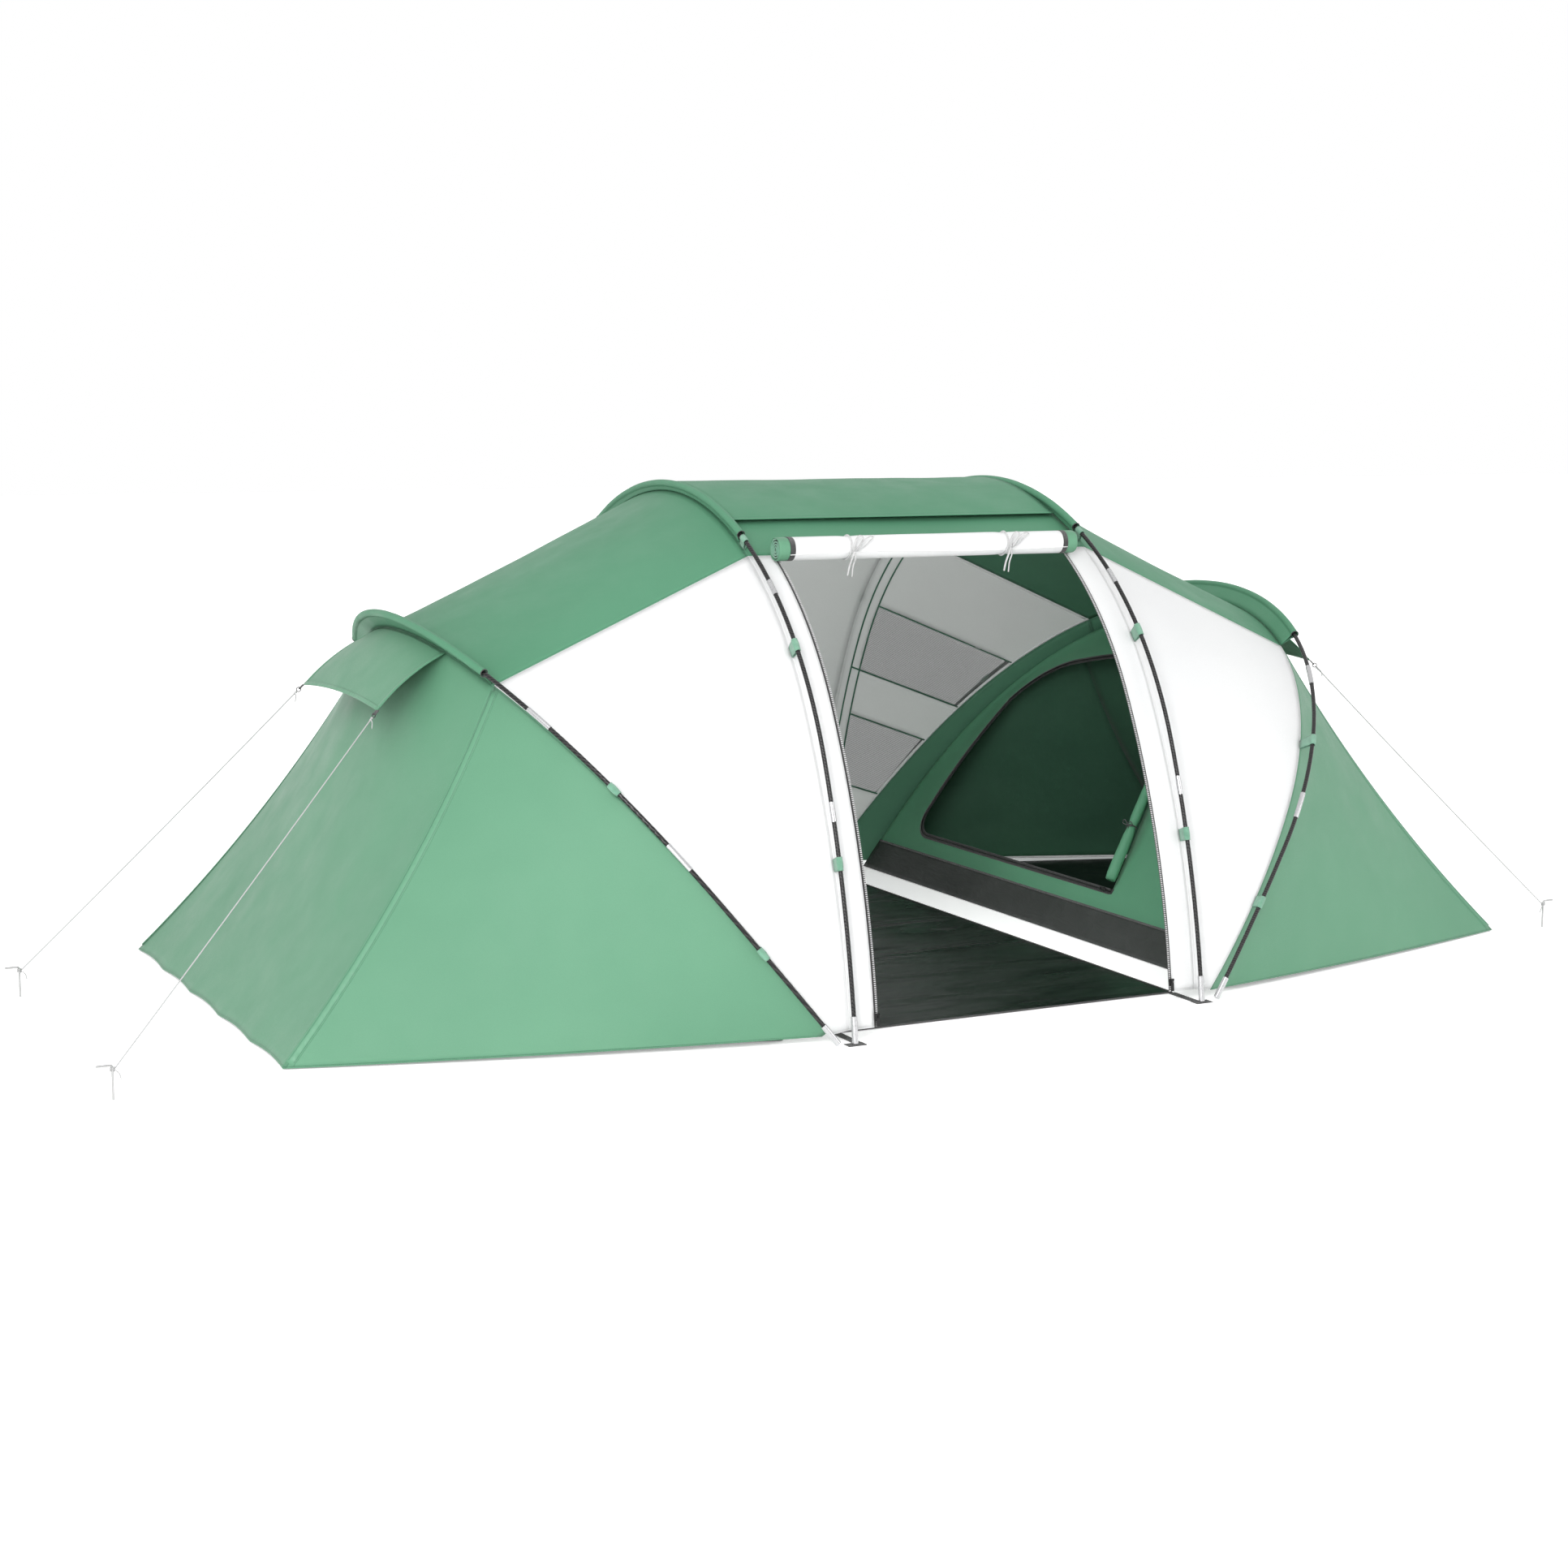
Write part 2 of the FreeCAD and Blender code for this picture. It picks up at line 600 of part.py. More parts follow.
def slider_and_pull(origin, along, across, out):
    """Zip slider with its bridge, and the pull tab that hangs from the bridge's pin."""
    slider = block(origin, along, across, out, (22, 12, 5), (0, 0, 5.2))
    post_a = block(origin, along, across, out, (3, 5, 5), (8, 0, 9.4))
    pin = Part.makeCylinder(1.2, 12, origin + along * 8 + out * 12.4 - across * 6, across)
    slider = slider.fuse(post_a).fuse(pin)
    ring = Part.makeCylinder(3.4, 1.6, origin + along * 8 + out * 12.4 - across * 5.6, across)
    ring = ring.fuse(Part.makeCylinder(3.4, 1.6, origin + along * 8 + out * 12.4 + across * 4.0, across))
    bore = Part.makeCylinder(1.6, 20, origin + along * 8 + out * 12.4 - across * 10, across)
    tab = block(origin, along, across, out, (36, 11.2, 2.2), (-8, 0, 12.4))
    notch = block(origin, along, across, out, (14, 7.4, 9), (4.5, 0, 12.4))
    pull = tab.cut(notch).fuse(ring).cut(bore)
    return slider, pull


def door_zip(side):
    """Fixed half of a door zip, on the edge of the white strip."""
    edge = ZIP_X - ZIP_WIDTH / 2
    patch = tunnel_panel(side * edge, side * (edge + ZIP_WIDTH), HEM_S, ZIP_TOP_S)
    return sheet_solid(patch, 2, 16, 1.0, -2.5)


def door_slider(side):
    y, w, heading = arch_at(CENTRE["cloth"], SLIDER_S)
    along = V(0, math.sin(heading), math.cos(heading))
    out = V(0, -math.cos(heading), math.sin(heading))
    return slider_and_pull(V(side * ZIP_X, y, w), along, V(1, 0, 0), out)


def bedroom_slider(side):
    lean = math.radians(ROOM_LEAN)
    up = V(side * math.sin(lean), 0, math.cos(lean))
    out = V(-side * math.cos(lean), 0, math.sin(lean))
    origin = in_plane(ROOM, side, "cloth", BEDROOM_SLIDER_Y, SILL - DOOR_BAND / 2)
    slider, pull = slider_and_pull(origin, V(0, 1, 0), up, out)
    return slider, pull


# ---- ground pieces and ropes --------------------------------------------------------------
def groundsheet():
    return Part.makeBox(SHEET_X * 2, SHEET_Y * 2, SHEET, V(-SHEET_X, -SHEET_Y, 0))


def foot_webbing(side, front):
    """Webbing from a groundsheet corner to the tab that the upright hoop stands on."""
    tab = Part.makeBox(58, 34, 1.5, V(-29, -17, 0))
    strap = Part.makeBox(26, 128, 1.5, V(-26, 12, 0))
    piece = tab.fuse(strap).removeSplitter()
    if side < 0:
        piece = piece.mirror(V(0, 0, 0), V(1, 0, 0))
    if not front:
        piece = piece.mirror(V(0, 0, 0), V(0, 1, 0))
    piece.translate(V(side * CENTRE_X, -FOOT_Y if front else FOOT_Y, 0))
    return piece


def peg(x, y):
    """Wire peg: upright shaft, hooked outwards at the top."""
    outwards = 1 if x > 0 else -1
    bend = 7.0
    top = V(x, y, PEG_HEIGHT)
    middle = V(x + outwards * bend * 0.293, y, PEG_HEIGHT - bend * 0.293)
    bend_start = V(x, y, PEG_HEIGHT - bend)
    bend_end = top + V(outwards * bend, 0, 0)
    curves = [Part.LineSegment(V(x, y, 0), bend_start),
              Part.Arc(bend_start, middle, bend_end),
              Part.LineSegment(bend_end, top + V(outwards * PEG_HOOK, 0, 0))]
    path = Part.Wire([curve.toShape() for curve in curves])
    circle = Part.Wire(Part.makeCircle(PEG_R, V(x, y, 0), V(0, 0, 1)))
    return path.makePipeShell([circle], True, False)


def visor_corner(side, front):
    y = -VISOR_Y if front else VISOR_Y
    return V(side * VISOR_X, y, VISOR_Z)


def rope_start(side, front, target):
    corner = visor_corner(side, front)
    return corner + (target - corner).normalize() * LOOP_REACH


def rope_route(index):
    """Taut rope from the visor's loop to the peg, with the little sag of its own weight."""
    x, y = PEGS[index]
    side = 1 if x > 0 else -1
    front = index % 2 == 0
    end = V(x - side * (PEG_R + ROPE_R + 0.4), y, PEG_HEIGHT - ROPE_BELOW_TOP)
    start = rope_start(side, front, end)
    middle = (start + end) * 0.5 - V(0, 0, ROPE_SAG)
    return [start, middle, end]


def tube_along(points, radius):
    """Round tube of straight runs joined by tangent arcs; also returns the arcs' radii."""
    edges = []
    radii = []
    last = points[0]
    for a, b, c in zip(points, points[1:], points[2:]):
        to_a = (a - b).normalize()
        to_c = (c - b).normalize()
        turn = math.pi - to_a.getAngle(to_c)
        reach = 0.45 * min((a - b).Length, (c - b).Length)
        bend = reach / math.tan(turn / 2)
        start = b + to_a * reach
        finish = b + to_c * reach
        centre = b + (to_a + to_c).normalize() * (bend / math.cos(turn / 2))
        middle = centre + (b - centre).normalize() * bend
        edges.append(Part.LineSegment(last, start).toShape())
        edges.append(Part.Arc(start, middle, finish).toShape())
        radii.append(bend)
        last = finish
    edges.append(Part.LineSegment(last, points[-1]).toShape())
    path = Part.Wire(edges)
    circle = Part.Wire(Part.makeCircle(radius, points[0], points[1] - points[0]))
    return path.makePipeShell([circle], True, False), radii, path.Length


def guy_loop(index):
    """Short webbing loop and ring under a visor corner."""
    start = rope_route(index)[0]
    x = PEGS[index][0]
    corner = visor_corner(1 if x > 0 else -1, index % 2 == 0)
    along = (start - corner).normalize()
    across = along.cross(V(0, 0, 1)).normalize()
    out = across.cross(along)
    strap = block(corner + along * 14, along, across, out, (20, 12, 3), (0, 0, 0))
    ring = Part.makeTorus(7.0, 1.3, corner + along * 26, across)
    return strap.fuse(ring)


# ---- build --------------------------------------------------------------------------------
def side_name(side):
    return "right" if side > 0 else "left"


def build_fly():
    tunnel_end = CENTRE["cloth"]["length"]
    width = CENTRE_X - SEAM
    nodes = {
        "roof_centre": [sheet_solid(tunnel_panel(-width, width, CENTRE_ROOF_S + SEAM,
                                                 tunnel_end - CENTRE_ROOF_S - SEAM), 4, 20)],
        "back_wall_centre": [sheet_solid(tunnel_panel(-width, width, tunnel_end - HEM_S,
                                                      tunnel_end - CENTRE_ROOF_S + SEAM), 4, 16)],
        "rain_flap": [sheet_solid(rain_cover(), 4, 12, 0.0, -2.0)],
        "door_zips": [door_zip(side) for side in (-1, 1)]}
    for side in (-1, 1):
        name = side_name(side)
        zip_edge = ZIP_X + ZIP_WIDTH / 2 + SEAM
        strip = tunnel_panel(side * zip_edge, side * width, HEM_S, CENTRE_ROOF_S - SEAM)
        nodes["door_strip_" + name] = [sheet_solid(strip, 2, 16)]
        nodes["roof_" + name] = [sheet_solid(roof_band(side), 4, 20)]
        nodes["front_wall_" + name] = [sheet_solid(wall_panel(side, False), 4, 16)]
        back = sheet_solid(wall_panel(side, True), 4, 16)
        for band in WINDOW_BANDS:
            back = back.cut(window_hole(side, band))
        nodes["back_wall_" + name] = back.Solids
        end = sheet_solid(fly_end(side), 8, 12)
        nodes["end_panel_" + name] = end.cut(sheet_solid(vent_patch(side, 0), 2, 4, 12.0, -15.0)).Solids
        meshes = [window_mesh(side, band) for band in WINDOW_BANDS]
        meshes.append(sheet_solid(vent_patch(side, 1.5), 2, 4, -1.0, -2.4))
        nodes["mesh_inserts_" + name] = meshes
        nodes["gusset_front_" + name] = [sheet_solid(fly_gusset(side, False), 8, 14)]
        nodes["gusset_back_" + name] = [sheet_solid(fly_gusset(side, True), 8, 14)]
        nodes["visor_" + name] = [sheet_solid(visor(side), 4, 8, 0.0, -2.5)]
    return nodes


def build_frame():
    nodes = {"pole_ferrules": [], "foot_tips": [], "pole_clips": []}
    for label, hoop in (("centre", CENTRE), ("end", END)):
        for side in (-1, 1):
            name = label + "_" + side_name(side)
            nodes["poles_" + name] = pole_sections(hoop, side)
            nodes["sleeve_" + name] = [sleeve(hoop, side)]
            nodes["pole_ferrules"] += ferrules(hoop, side)
            nodes["foot_tips"] += foot_tips(hoop, side)
            nodes["pole_clips"] += pole_clips(hoop, side)
    return nodes


def build_rooms():
    nodes = {"bedroom_zips": [bedroom_zip(side) for side in (-1, 1)]}
    for side in (-1, 1):
        name = side_name(side)
        slider, pull = bedroom_slider(side)
        nodes["bedroom_wall_" + name] = [bedroom_wall(side)]
        nodes["bedroom_tub_" + name] = [bedroom_tub(side)]
        nodes["bedroom_canopy_" + name] = bedroom_canopy(side)
        nodes["bedroom_roll_" + name] = [bedroom_roll(side)]
        nodes["bedroom_slider_" + name] = [slider]
        nodes["bedroom_pull_" + name] = [pull]
    return nodes


def build_door():
    nodes = {}
    roll = Part.makeCylinder(DOOR_ROLL_R, DOOR_ROLL_HALF * 2,
                             V(-DOOR_ROLL_HALF, DOOR_ROLL_Y, DOOR_ROLL_Z), V(1, 0, 0))
    nodes["door_roll"] = [roll]
    for side in (-1, 1):
        slider, pull = door_slider(side)
        nodes["door_slider_" + side_name(side)] = [slider]
        nodes["door_pull_" + side_name(side)] = [pull]
    return nodes


def build_ground():
    corners = [(side, front) for side in (-1, 1) for front in (True, False)]
    nodes = {"groundsheet": [groundsheet()],
             "foot_webbing": [foot_webbing(side, front) for side, front in corners],
             "pegs": [peg(x, y) for x, y in PEGS],
             "guy_loops": [guy_loop(index) for index in range(len(PEGS))]}
    names = ("guy_front_left", "guy_back_left", "guy_front_right", "guy_back_right")
    for index, name in enumerate(names):
        solid, radii, length = tube_along(rope_route(index), ROPE_R)
        nodes[name] = [solid]
        print(name, "length", round(length), "bend radii", [round(r) for r in radii],
              "volume ratio", round(solid.Volume / (math.pi * ROPE_R ** 2 * length), 4))
    return nodes


os.makedirs("parts", exist_ok=True)
model = {}
for group in (build_fly, build_frame, build_rooms, build_door, build_ground):
    model.update(group())
for name, solids in model.items():
    shape = solids[0] if len(solids) == 1 else Part.makeCompound(solids)
    if not shape.isValid() or len(shape.Solids) != len(solids):
        print("CHECK", name, "valid", shape.isValid(), "solids", len(shape.Solids))
    shape.exportStep("parts/" + name + ".step")
print(len(model), "nodes")
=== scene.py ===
import math
import bpy
from mathutils import Matrix, Vector, noise


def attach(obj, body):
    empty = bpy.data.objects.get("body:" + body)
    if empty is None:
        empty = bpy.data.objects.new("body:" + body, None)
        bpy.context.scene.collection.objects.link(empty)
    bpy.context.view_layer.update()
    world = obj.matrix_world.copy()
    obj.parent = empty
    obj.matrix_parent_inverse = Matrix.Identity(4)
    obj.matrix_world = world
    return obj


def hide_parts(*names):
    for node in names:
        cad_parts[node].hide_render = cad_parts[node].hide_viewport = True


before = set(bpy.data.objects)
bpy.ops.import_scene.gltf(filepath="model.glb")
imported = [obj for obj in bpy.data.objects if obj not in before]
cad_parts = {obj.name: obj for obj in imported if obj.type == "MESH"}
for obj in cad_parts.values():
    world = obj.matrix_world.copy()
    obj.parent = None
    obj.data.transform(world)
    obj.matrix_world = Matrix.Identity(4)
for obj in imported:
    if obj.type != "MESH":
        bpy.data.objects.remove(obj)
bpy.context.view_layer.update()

# ---- sizes in metres, the same as the CAD's driving dimensions ------------------------------
FOOT_Y = 1.300
CENTRE_X = 0.597
CENTRE_RISE = 1.540
END_X = 0.645
END_RISE = 1.460
END_LEAN = math.radians(37.7)
CLOTH_Y = FOOT_Y - 0.0365
END_CLOTH_X = 0.635
END_CLOTH_LEAN = math.radians(37.8)
HEM_S = 0.032
CENTRE_ROOF_S = 1.547
END_ROOF_S = 1.490
ZIP_X = 0.508
ZIP_HALF = 0.0055
ZIP_TOP_S = 1.532
COVER_S = 1.734
COVER_HALF = CENTRE_X - 0.0175
COVER_LIFT = 0.029
COVER_SEWN = 0.0045
COVER_FREE = 0.015
CORNER = Vector((2.130, -0.860, 0.003))
HEM_FOOT = Vector((0.672, -1.238, 0.017))
HEM_BOW = 0.022
CONE_SEAM_S = 1.488
GUSSET_FIRST_S = 0.045
SEAM_SAG = 0.042
END_SAG = 0.054
VISOR_ROOT_S = 1.738
VISOR = Vector((1.685, 0.377, 0.913))
VISOR_ARCH = 0.019
ROOM_X = 0.765
ROOM_LEAN = math.radians(34.0)
ROOM_HALF = 1.175
ROOM_RISE = 1.285
ROOM_END = Vector((2.030, -0.800, 0.009))
MUDWALL = 0.118
DOOR_BAND = 0.014
POLE_R = 0.0065
CENTRE_SLEEVE = 1.660
END_SLEEVE = 1.536
CENTRE_CLIPS = (0.514, 1.180)
END_CLIPS = (0.352, 0.977)
CLIP_LENGTH = 0.040
MOUTH_CLIP_S = 1.632
MOUTH_CLIP_LENGTH = 0.030
ROPE_R = 0.0019
ROPE_SAG = 0.009
PEG_HEIGHT = 0.092
PEGS = ((-2.610, -0.963), (-2.606, 0.342), (2.330, -0.886), (2.330, 0.420))
WINDOW_BANDS = ((0.220, 0.413), (0.540, 0.735))
WINDOW_LEFT = 0.078
WINDOW_RIGHT = 0.014
PIPING_INSET = 0.038
VENT_CLEAR = 0.500
VENT_BAND = (0.050, 0.135)
CLOTH = 0.0012
NET = 0.0007
GROUND_X = 0.585
GROUND_Y = 1.160
CANOPY_SEAM_S = 1.270
CANOPY_SAG = 0.044
CANOPY_END_SAG = 0.056
ROOT = "tent"


# ---- camera ---------------------------------------------------------------------------------
CAMERA_TURN = (26.652, -8.506, 0.148)     # yaw, pitch and roll in degrees
CAMERA_PLACE = (-4.0055, -7.6354, 1.8221)
CAMERA_LENS = 59.776


def new_object(name, data):
    made = bpy.data.objects.new(name, data)
    bpy.context.collection.objects.link(made)
    return made


def make_camera():
    yaw, pitch, roll = (math.radians(a) for a in CAMERA_TURN)
    ahead = Vector((math.sin(yaw) * math.cos(pitch), math.cos(yaw) * math.cos(pitch), math.sin(pitch)))
    level = Vector((math.cos(yaw), -math.sin(yaw), 0))
    upright = level.cross(ahead)
    right = level * math.cos(roll) + upright * math.sin(roll)
    up = upright * math.cos(roll) - level * math.sin(roll)
    camera = new_object("camera", bpy.data.cameras.new("camera"))
    camera.data.lens = CAMERA_LENS
    camera.data.sensor_width = 36
    camera.matrix_world = Matrix((right, up, -ahead)).transposed().to_4x4()
    camera.location = CAMERA_PLACE
    camera.data.clip_end = 200
    bpy.context.scene.camera = camera


# ---- arches ---------------------------------------------------------------------------------
class Arch:
    """Flat arch of two tangent arcs a side, measured along itself from the front foot."""

    def __init__(self, half_span, rise, bends):
        start, knee = (math.radians(b) for b in bends)
        a, b = math.cos(start) - math.cos(knee), math.cos(knee)
        c, d = math.sin(knee) - math.sin(start), 1 - math.sin(knee)
        det = a * d - b * c
        self.span, self.start, self.knee = half_span, start, knee
        self.lower = (half_span * d - b * rise) / det
        self.upper = (a * rise - c * half_span) / det
        self.knee_s = self.lower * (knee - start)
        self.length = 2 * (self.knee_s + self.upper * (math.pi / 2 - knee))

    def at(self, s):
        """y, height in the plane, heading from upright."""
        far = s > self.length / 2
        d = self.length - s if far else s
        if d <= self.knee_s:
            heading = self.start + d / self.lower
            y = -self.span + self.lower * (math.cos(self.start) - math.cos(heading))
            w = self.lower * (math.sin(heading) - math.sin(self.start))
        else:
            heading = self.knee + (d - self.knee_s) / self.upper
            y = (-self.span + self.lower * (math.cos(self.start) - math.cos(self.knee))
                 + self.upper * (math.cos(self.knee) - math.cos(heading)))
            w = (self.lower * (math.sin(self.knee) - math.sin(self.start))
                 + self.upper * (math.sin(heading) - math.sin(self.knee)))
        return (-y, w, math.pi - heading) if far else (y, w, heading)


class Hoop:
    """Arch in a plane that leans outwards by an angle, on the left (-1) or right (1) side."""

    def __init__(self, x, lean, arch, side):
        self.x, self.lean, self.arch, self.side = x, lean, arch, side

    def place(self, y, w):
        return Vector((self.side * (self.x + w * math.sin(self.lean)), y, w * math.cos(self.lean)))

    def point(self, s):
        return self.place(*self.arch.at(s)[:2])

    def frame(self, s):
        """Point, tangent, inward normal and the normal of the plane."""
        y, w, heading = self.arch.at(s)
        foot = self.place(0, 0)
        tangent = self.place(math.sin(heading), math.cos(heading)) - foot
        inward = self.place(math.cos(heading), -math.sin(heading)) - foot
        return self.place(y, w), tangent, inward, tangent.cross(inward)


CENTRE_POLE = Arch(FOOT_Y, CENTRE_RISE, (7, 21))
END_POLE = Arch(FOOT_Y, END_RISE, (9, 14.5))
CENTRE_CLOTH = Arch(CLOTH_Y, 1.519, (5.7, 28))
END_CLOTH = Arch(CLOTH_Y, 1.404, (3.2, 22.6))
ROOM_CLOTH = Arch(ROOM_HALF, ROOM_RISE, (5, 9))


def centre_hoop(side, kind="cloth"):
    return Hoop(CENTRE_X, 0.0, CENTRE_CLOTH if kind == "cloth" else CENTRE_POLE, side)


def end_hoop(side, kind="cloth"):
    if kind == "cloth":
        return Hoop(END_CLOTH_X, END_CLOTH_LEAN, END_CLOTH, side)
    return Hoop(END_X, END_LEAN, END_POLE, side)


def room_hoop(side, forward=0.0):
    return Hoop(ROOM_X + forward, ROOM_LEAN, ROOM_CLOTH, side)


SIDES = ((-1, "left"), (1, "right"))


# ---- cords: the same routes as the CAD's ------------------------------------------------------
def rope_points(index):
    x, y = PEGS[index]
    side = 1 if x > 0 else -1
    corner = Vector((side * VISOR.x, -VISOR.y if index % 2 == 0 else VISOR.y, VISOR.z))
    end = Vector((x - side * 0.0055, y, PEG_HEIGHT - 0.010))
    start = corner + (end - corner).normalized() * 0.034
    middle = (start + end) * 0.5 - Vector((0, 0, ROPE_SAG))
    return [start, middle, end]


def nurbs_curve(name, points, radius):
    curve = bpy.data.curves.new(name, "CURVE")
    curve.dimensions = "3D"
    spline = curve.splines.new("NURBS")
    spline.points.add(len(points) - 1)
    for control, point in zip(spline.points, points):
        control.co = (*point, 1)
    spline.order_u = 3
    spline.use_endpoint_u = True
    curve.resolution_u = 24
    curve.bevel_depth = radius
    curve.bevel_resolution = 3
    curve.use_fill_caps = True
    return new_object(name, curve)


def line_length(points):
    return sum((b - a).length for a, b in zip(points, points[1:]))


# ---- mesh helpers -----------------------------------------------------------------------------
def new_piece(name, verts, faces, materials, smooth=True, body=ROOT):
    mesh = bpy.data.meshes.new(name)
    mesh.from_pydata([tuple(v) for v in verts], [], faces)
    mesh.validate()
    piece = new_object(name, mesh)
    for item in materials:
        mesh.materials.append(item)
    if smooth:
        mesh.shade_smooth()
    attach(piece, body)
    return piece


def sweep(points, radius, sides=8, closed=False, squash=(1.0, 1.0), up=Vector((0, 0, 1))):
    """Verts and faces of a tube along points; radius may be a number or one for each point."""
    count = len(points)
    radii = radius if hasattr(radius, "__len__") else [radius] * count
    verts, faces = [], []
    reference = up
    for i, point in enumerate(points):
        before = points[i - 1] if i or closed else point
        after = points[(i + 1) % count] if i < count - 1 or closed else point
        tangent = (after - before).normalized()
        side = tangent.cross(reference)
        if side.length < 1e-4:
            side = tangent.cross(Vector((1, 0, 0.3)))
        side.normalize()
        reference = side.cross(tangent).normalized()
        for k in range(sides):
            a = 2 * math.pi * k / sides
            verts.append(point + side * math.cos(a) * radii[i] * squash[0]
                         + reference * math.sin(a) * radii[i] * squash[1])
    rings = count if closed else count - 1
    for i in range(rings):
        a, b = i * sides, ((i + 1) % count) * sides
        for k in range(sides):
            n = (k + 1) % sides
            faces.append((a + k, b + k, b + n, a + n))
    if not closed:
        faces.append(tuple(range(sides)))
        faces.append(tuple(reversed(range((count - 1) * sides, count * sides))))
    return verts, faces


def merged(parts):
    """Joins several (verts, faces) lists into one."""
    verts, faces = [], []
    for more_verts, more_faces in parts:
        base = len(verts)
        verts += list(more_verts)
        faces += [tuple(base + i for i in face) for face in more_faces]
    return verts, faces


def smooth_path(points, steps=8):
    """Catmull-Rom line through the points."""
    line = []
    for i in range(len(points) - 1):
        p0, p1 = points[max(i - 1, 0)], points[i]
        p2, p3 = points[i + 1], points[min(i + 2, len(points) - 1)]
        for k in range(steps):
            t = k / steps
            line.append(0.5 * (2 * p1 + (p2 - p0) * t + (2 * p0 - 5 * p1 + 4 * p2 - p3) * t * t
                               + (3 * p1 - p0 - 3 * p2 + p3) * t ** 3))
    line.append(points[-1].copy())
    return line


def box_part(origin, axes, sizes):
    """Box of the given half sizes along three axes."""
    a, b, c = (axis * size for axis, size in zip(axes, sizes))
    corners = [origin + a * i + b * j + c * k for i in (-1, 1) for j in (-1, 1) for k in (-1, 1)]
    faces = [(0, 1, 3, 2), (4, 6, 7, 5), (0, 4, 5, 1), (2, 3, 7, 6), (0, 2, 6, 4), (1, 5, 7, 3)]
    return corners, faces


INSIDE = Vector((0, 0, 0.4))


def outward(normal, point):
    """The normal, turned to face away from the tent's inside."""
    return normal if normal.dot(point - INSIDE) > 0 else -normal


def turns(count):
    """Angles of even steps round a circle."""
    return [2 * math.pi * k / count for k in range(count)]


def span(count):
    """Even steps from 0 to 1."""
    return [i / count for i in range(count + 1)]


def between(places, share):
    """Value a share of the way through a list of places taken in even steps."""
    last = len(places) - 1
    i = min(int(share * last + 1e-6), last - 1)
    return places[i] + (places[i + 1] - places[i]) * (share * last - i)


def ring_faces(rings, count):
    """Quads between closed rings of count points."""
    faces = []
    for a in range(0, (rings - 1) * count, count):
        for k in range(count):
            n = (k + 1) % count
            faces.append((a + k, a + n, a + count + n, a + count + k))
    return faces


def strip_faces(rings, step):
    """Quads between open rings of step points."""
    starts = [i * step + k for i in range(rings - 1) for k in range(step - 1)]
    return [(a, a + 1, a + step + 1, a + step) for a in starts]


def add_map(piece, name, values):
    """UV map with one value for each vertex."""
    layer = piece.data.uv_layers.new(name=name)
    for loop in piece.data.loops:
        layer.data[loop.index].uv = values[loop.vertex_index]


def add_solidify(piece, thickness, offset=-1.0, inner_slot=0):
    solid = piece.modifiers.new("thickness", "SOLIDIFY")
    solid.thickness = thickness
    solid.offset = offset
    solid.use_even_offset = True
    solid.material_offset = inner_slot


def cloth(name, point_at, rows, columns, materials, node, folds=None, thickness=CLOTH,
          hole=None):
    """One continuous sheet over u, v in 0..1, with real-length UVs and edge distances for its stitching."""
    grid = [[point_at(u, v) for v in span(columns)] for u in span(rows)]
    across = [line_length([line[j] for line in grid]) for j in range(columns + 1)]
    along = [line_length(line) for line in grid]
    verts, cloth_uv, edge_uv = [], [], []
    for i, u in enumerate(span(rows)):
        for j, v in enumerate(span(columns)):
            rim = (min(u, 1 - u) * across[j], min(v, 1 - v) * along[i])
            lift = folds(u, v, rim, grid[i][j]) if folds else 0.0
            verts.append(grid[i][j] + grid_normal(grid, i, j) * lift)
            cloth_uv.append((u * across[j], v * along[rows // 2]))
            edge_uv.append(rim)
    kept = [(i, j) for i in range(rows) for j in range(columns)
            if not (hole and hole((i + 0.5) / rows, (j + 0.5) / columns))]
    corners = [i * (columns + 1) + j for i, j in kept]
    faces = [(a, a + columns + 1, a + columns + 2, a + 1) for a in corners]
    middle = faces[len(faces) // 2]
    if face_normal(verts, middle).dot(verts[middle[0]] - INSIDE) < 0:
        faces = [tuple(reversed(face)) for face in faces]
    piece = new_piece(name, verts, faces, materials)
    add_map(piece, "cloth", cloth_uv)
    add_map(piece, "edge", edge_uv)
    add_solidify(piece, thickness, inner_slot=len(materials) - 1)
    if node:
        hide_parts(node)
    return piece


def grid_normal(grid, i, j):
    last_i, last_j = len(grid) - 1, len(grid[0]) - 1
    du = grid[min(i + 1, last_i)][j] - grid[max(i - 1, 0)][j]
    dv = grid[i][min(j + 1, last_j)] - grid[i][max(j - 1, 0)]
    return outward(du.cross(dv).normalized(), grid[i][j])


def face_normal(verts, face):
    a, b, c = (verts[k] for k in face[:3])
    return (b - a).cross(c - a)


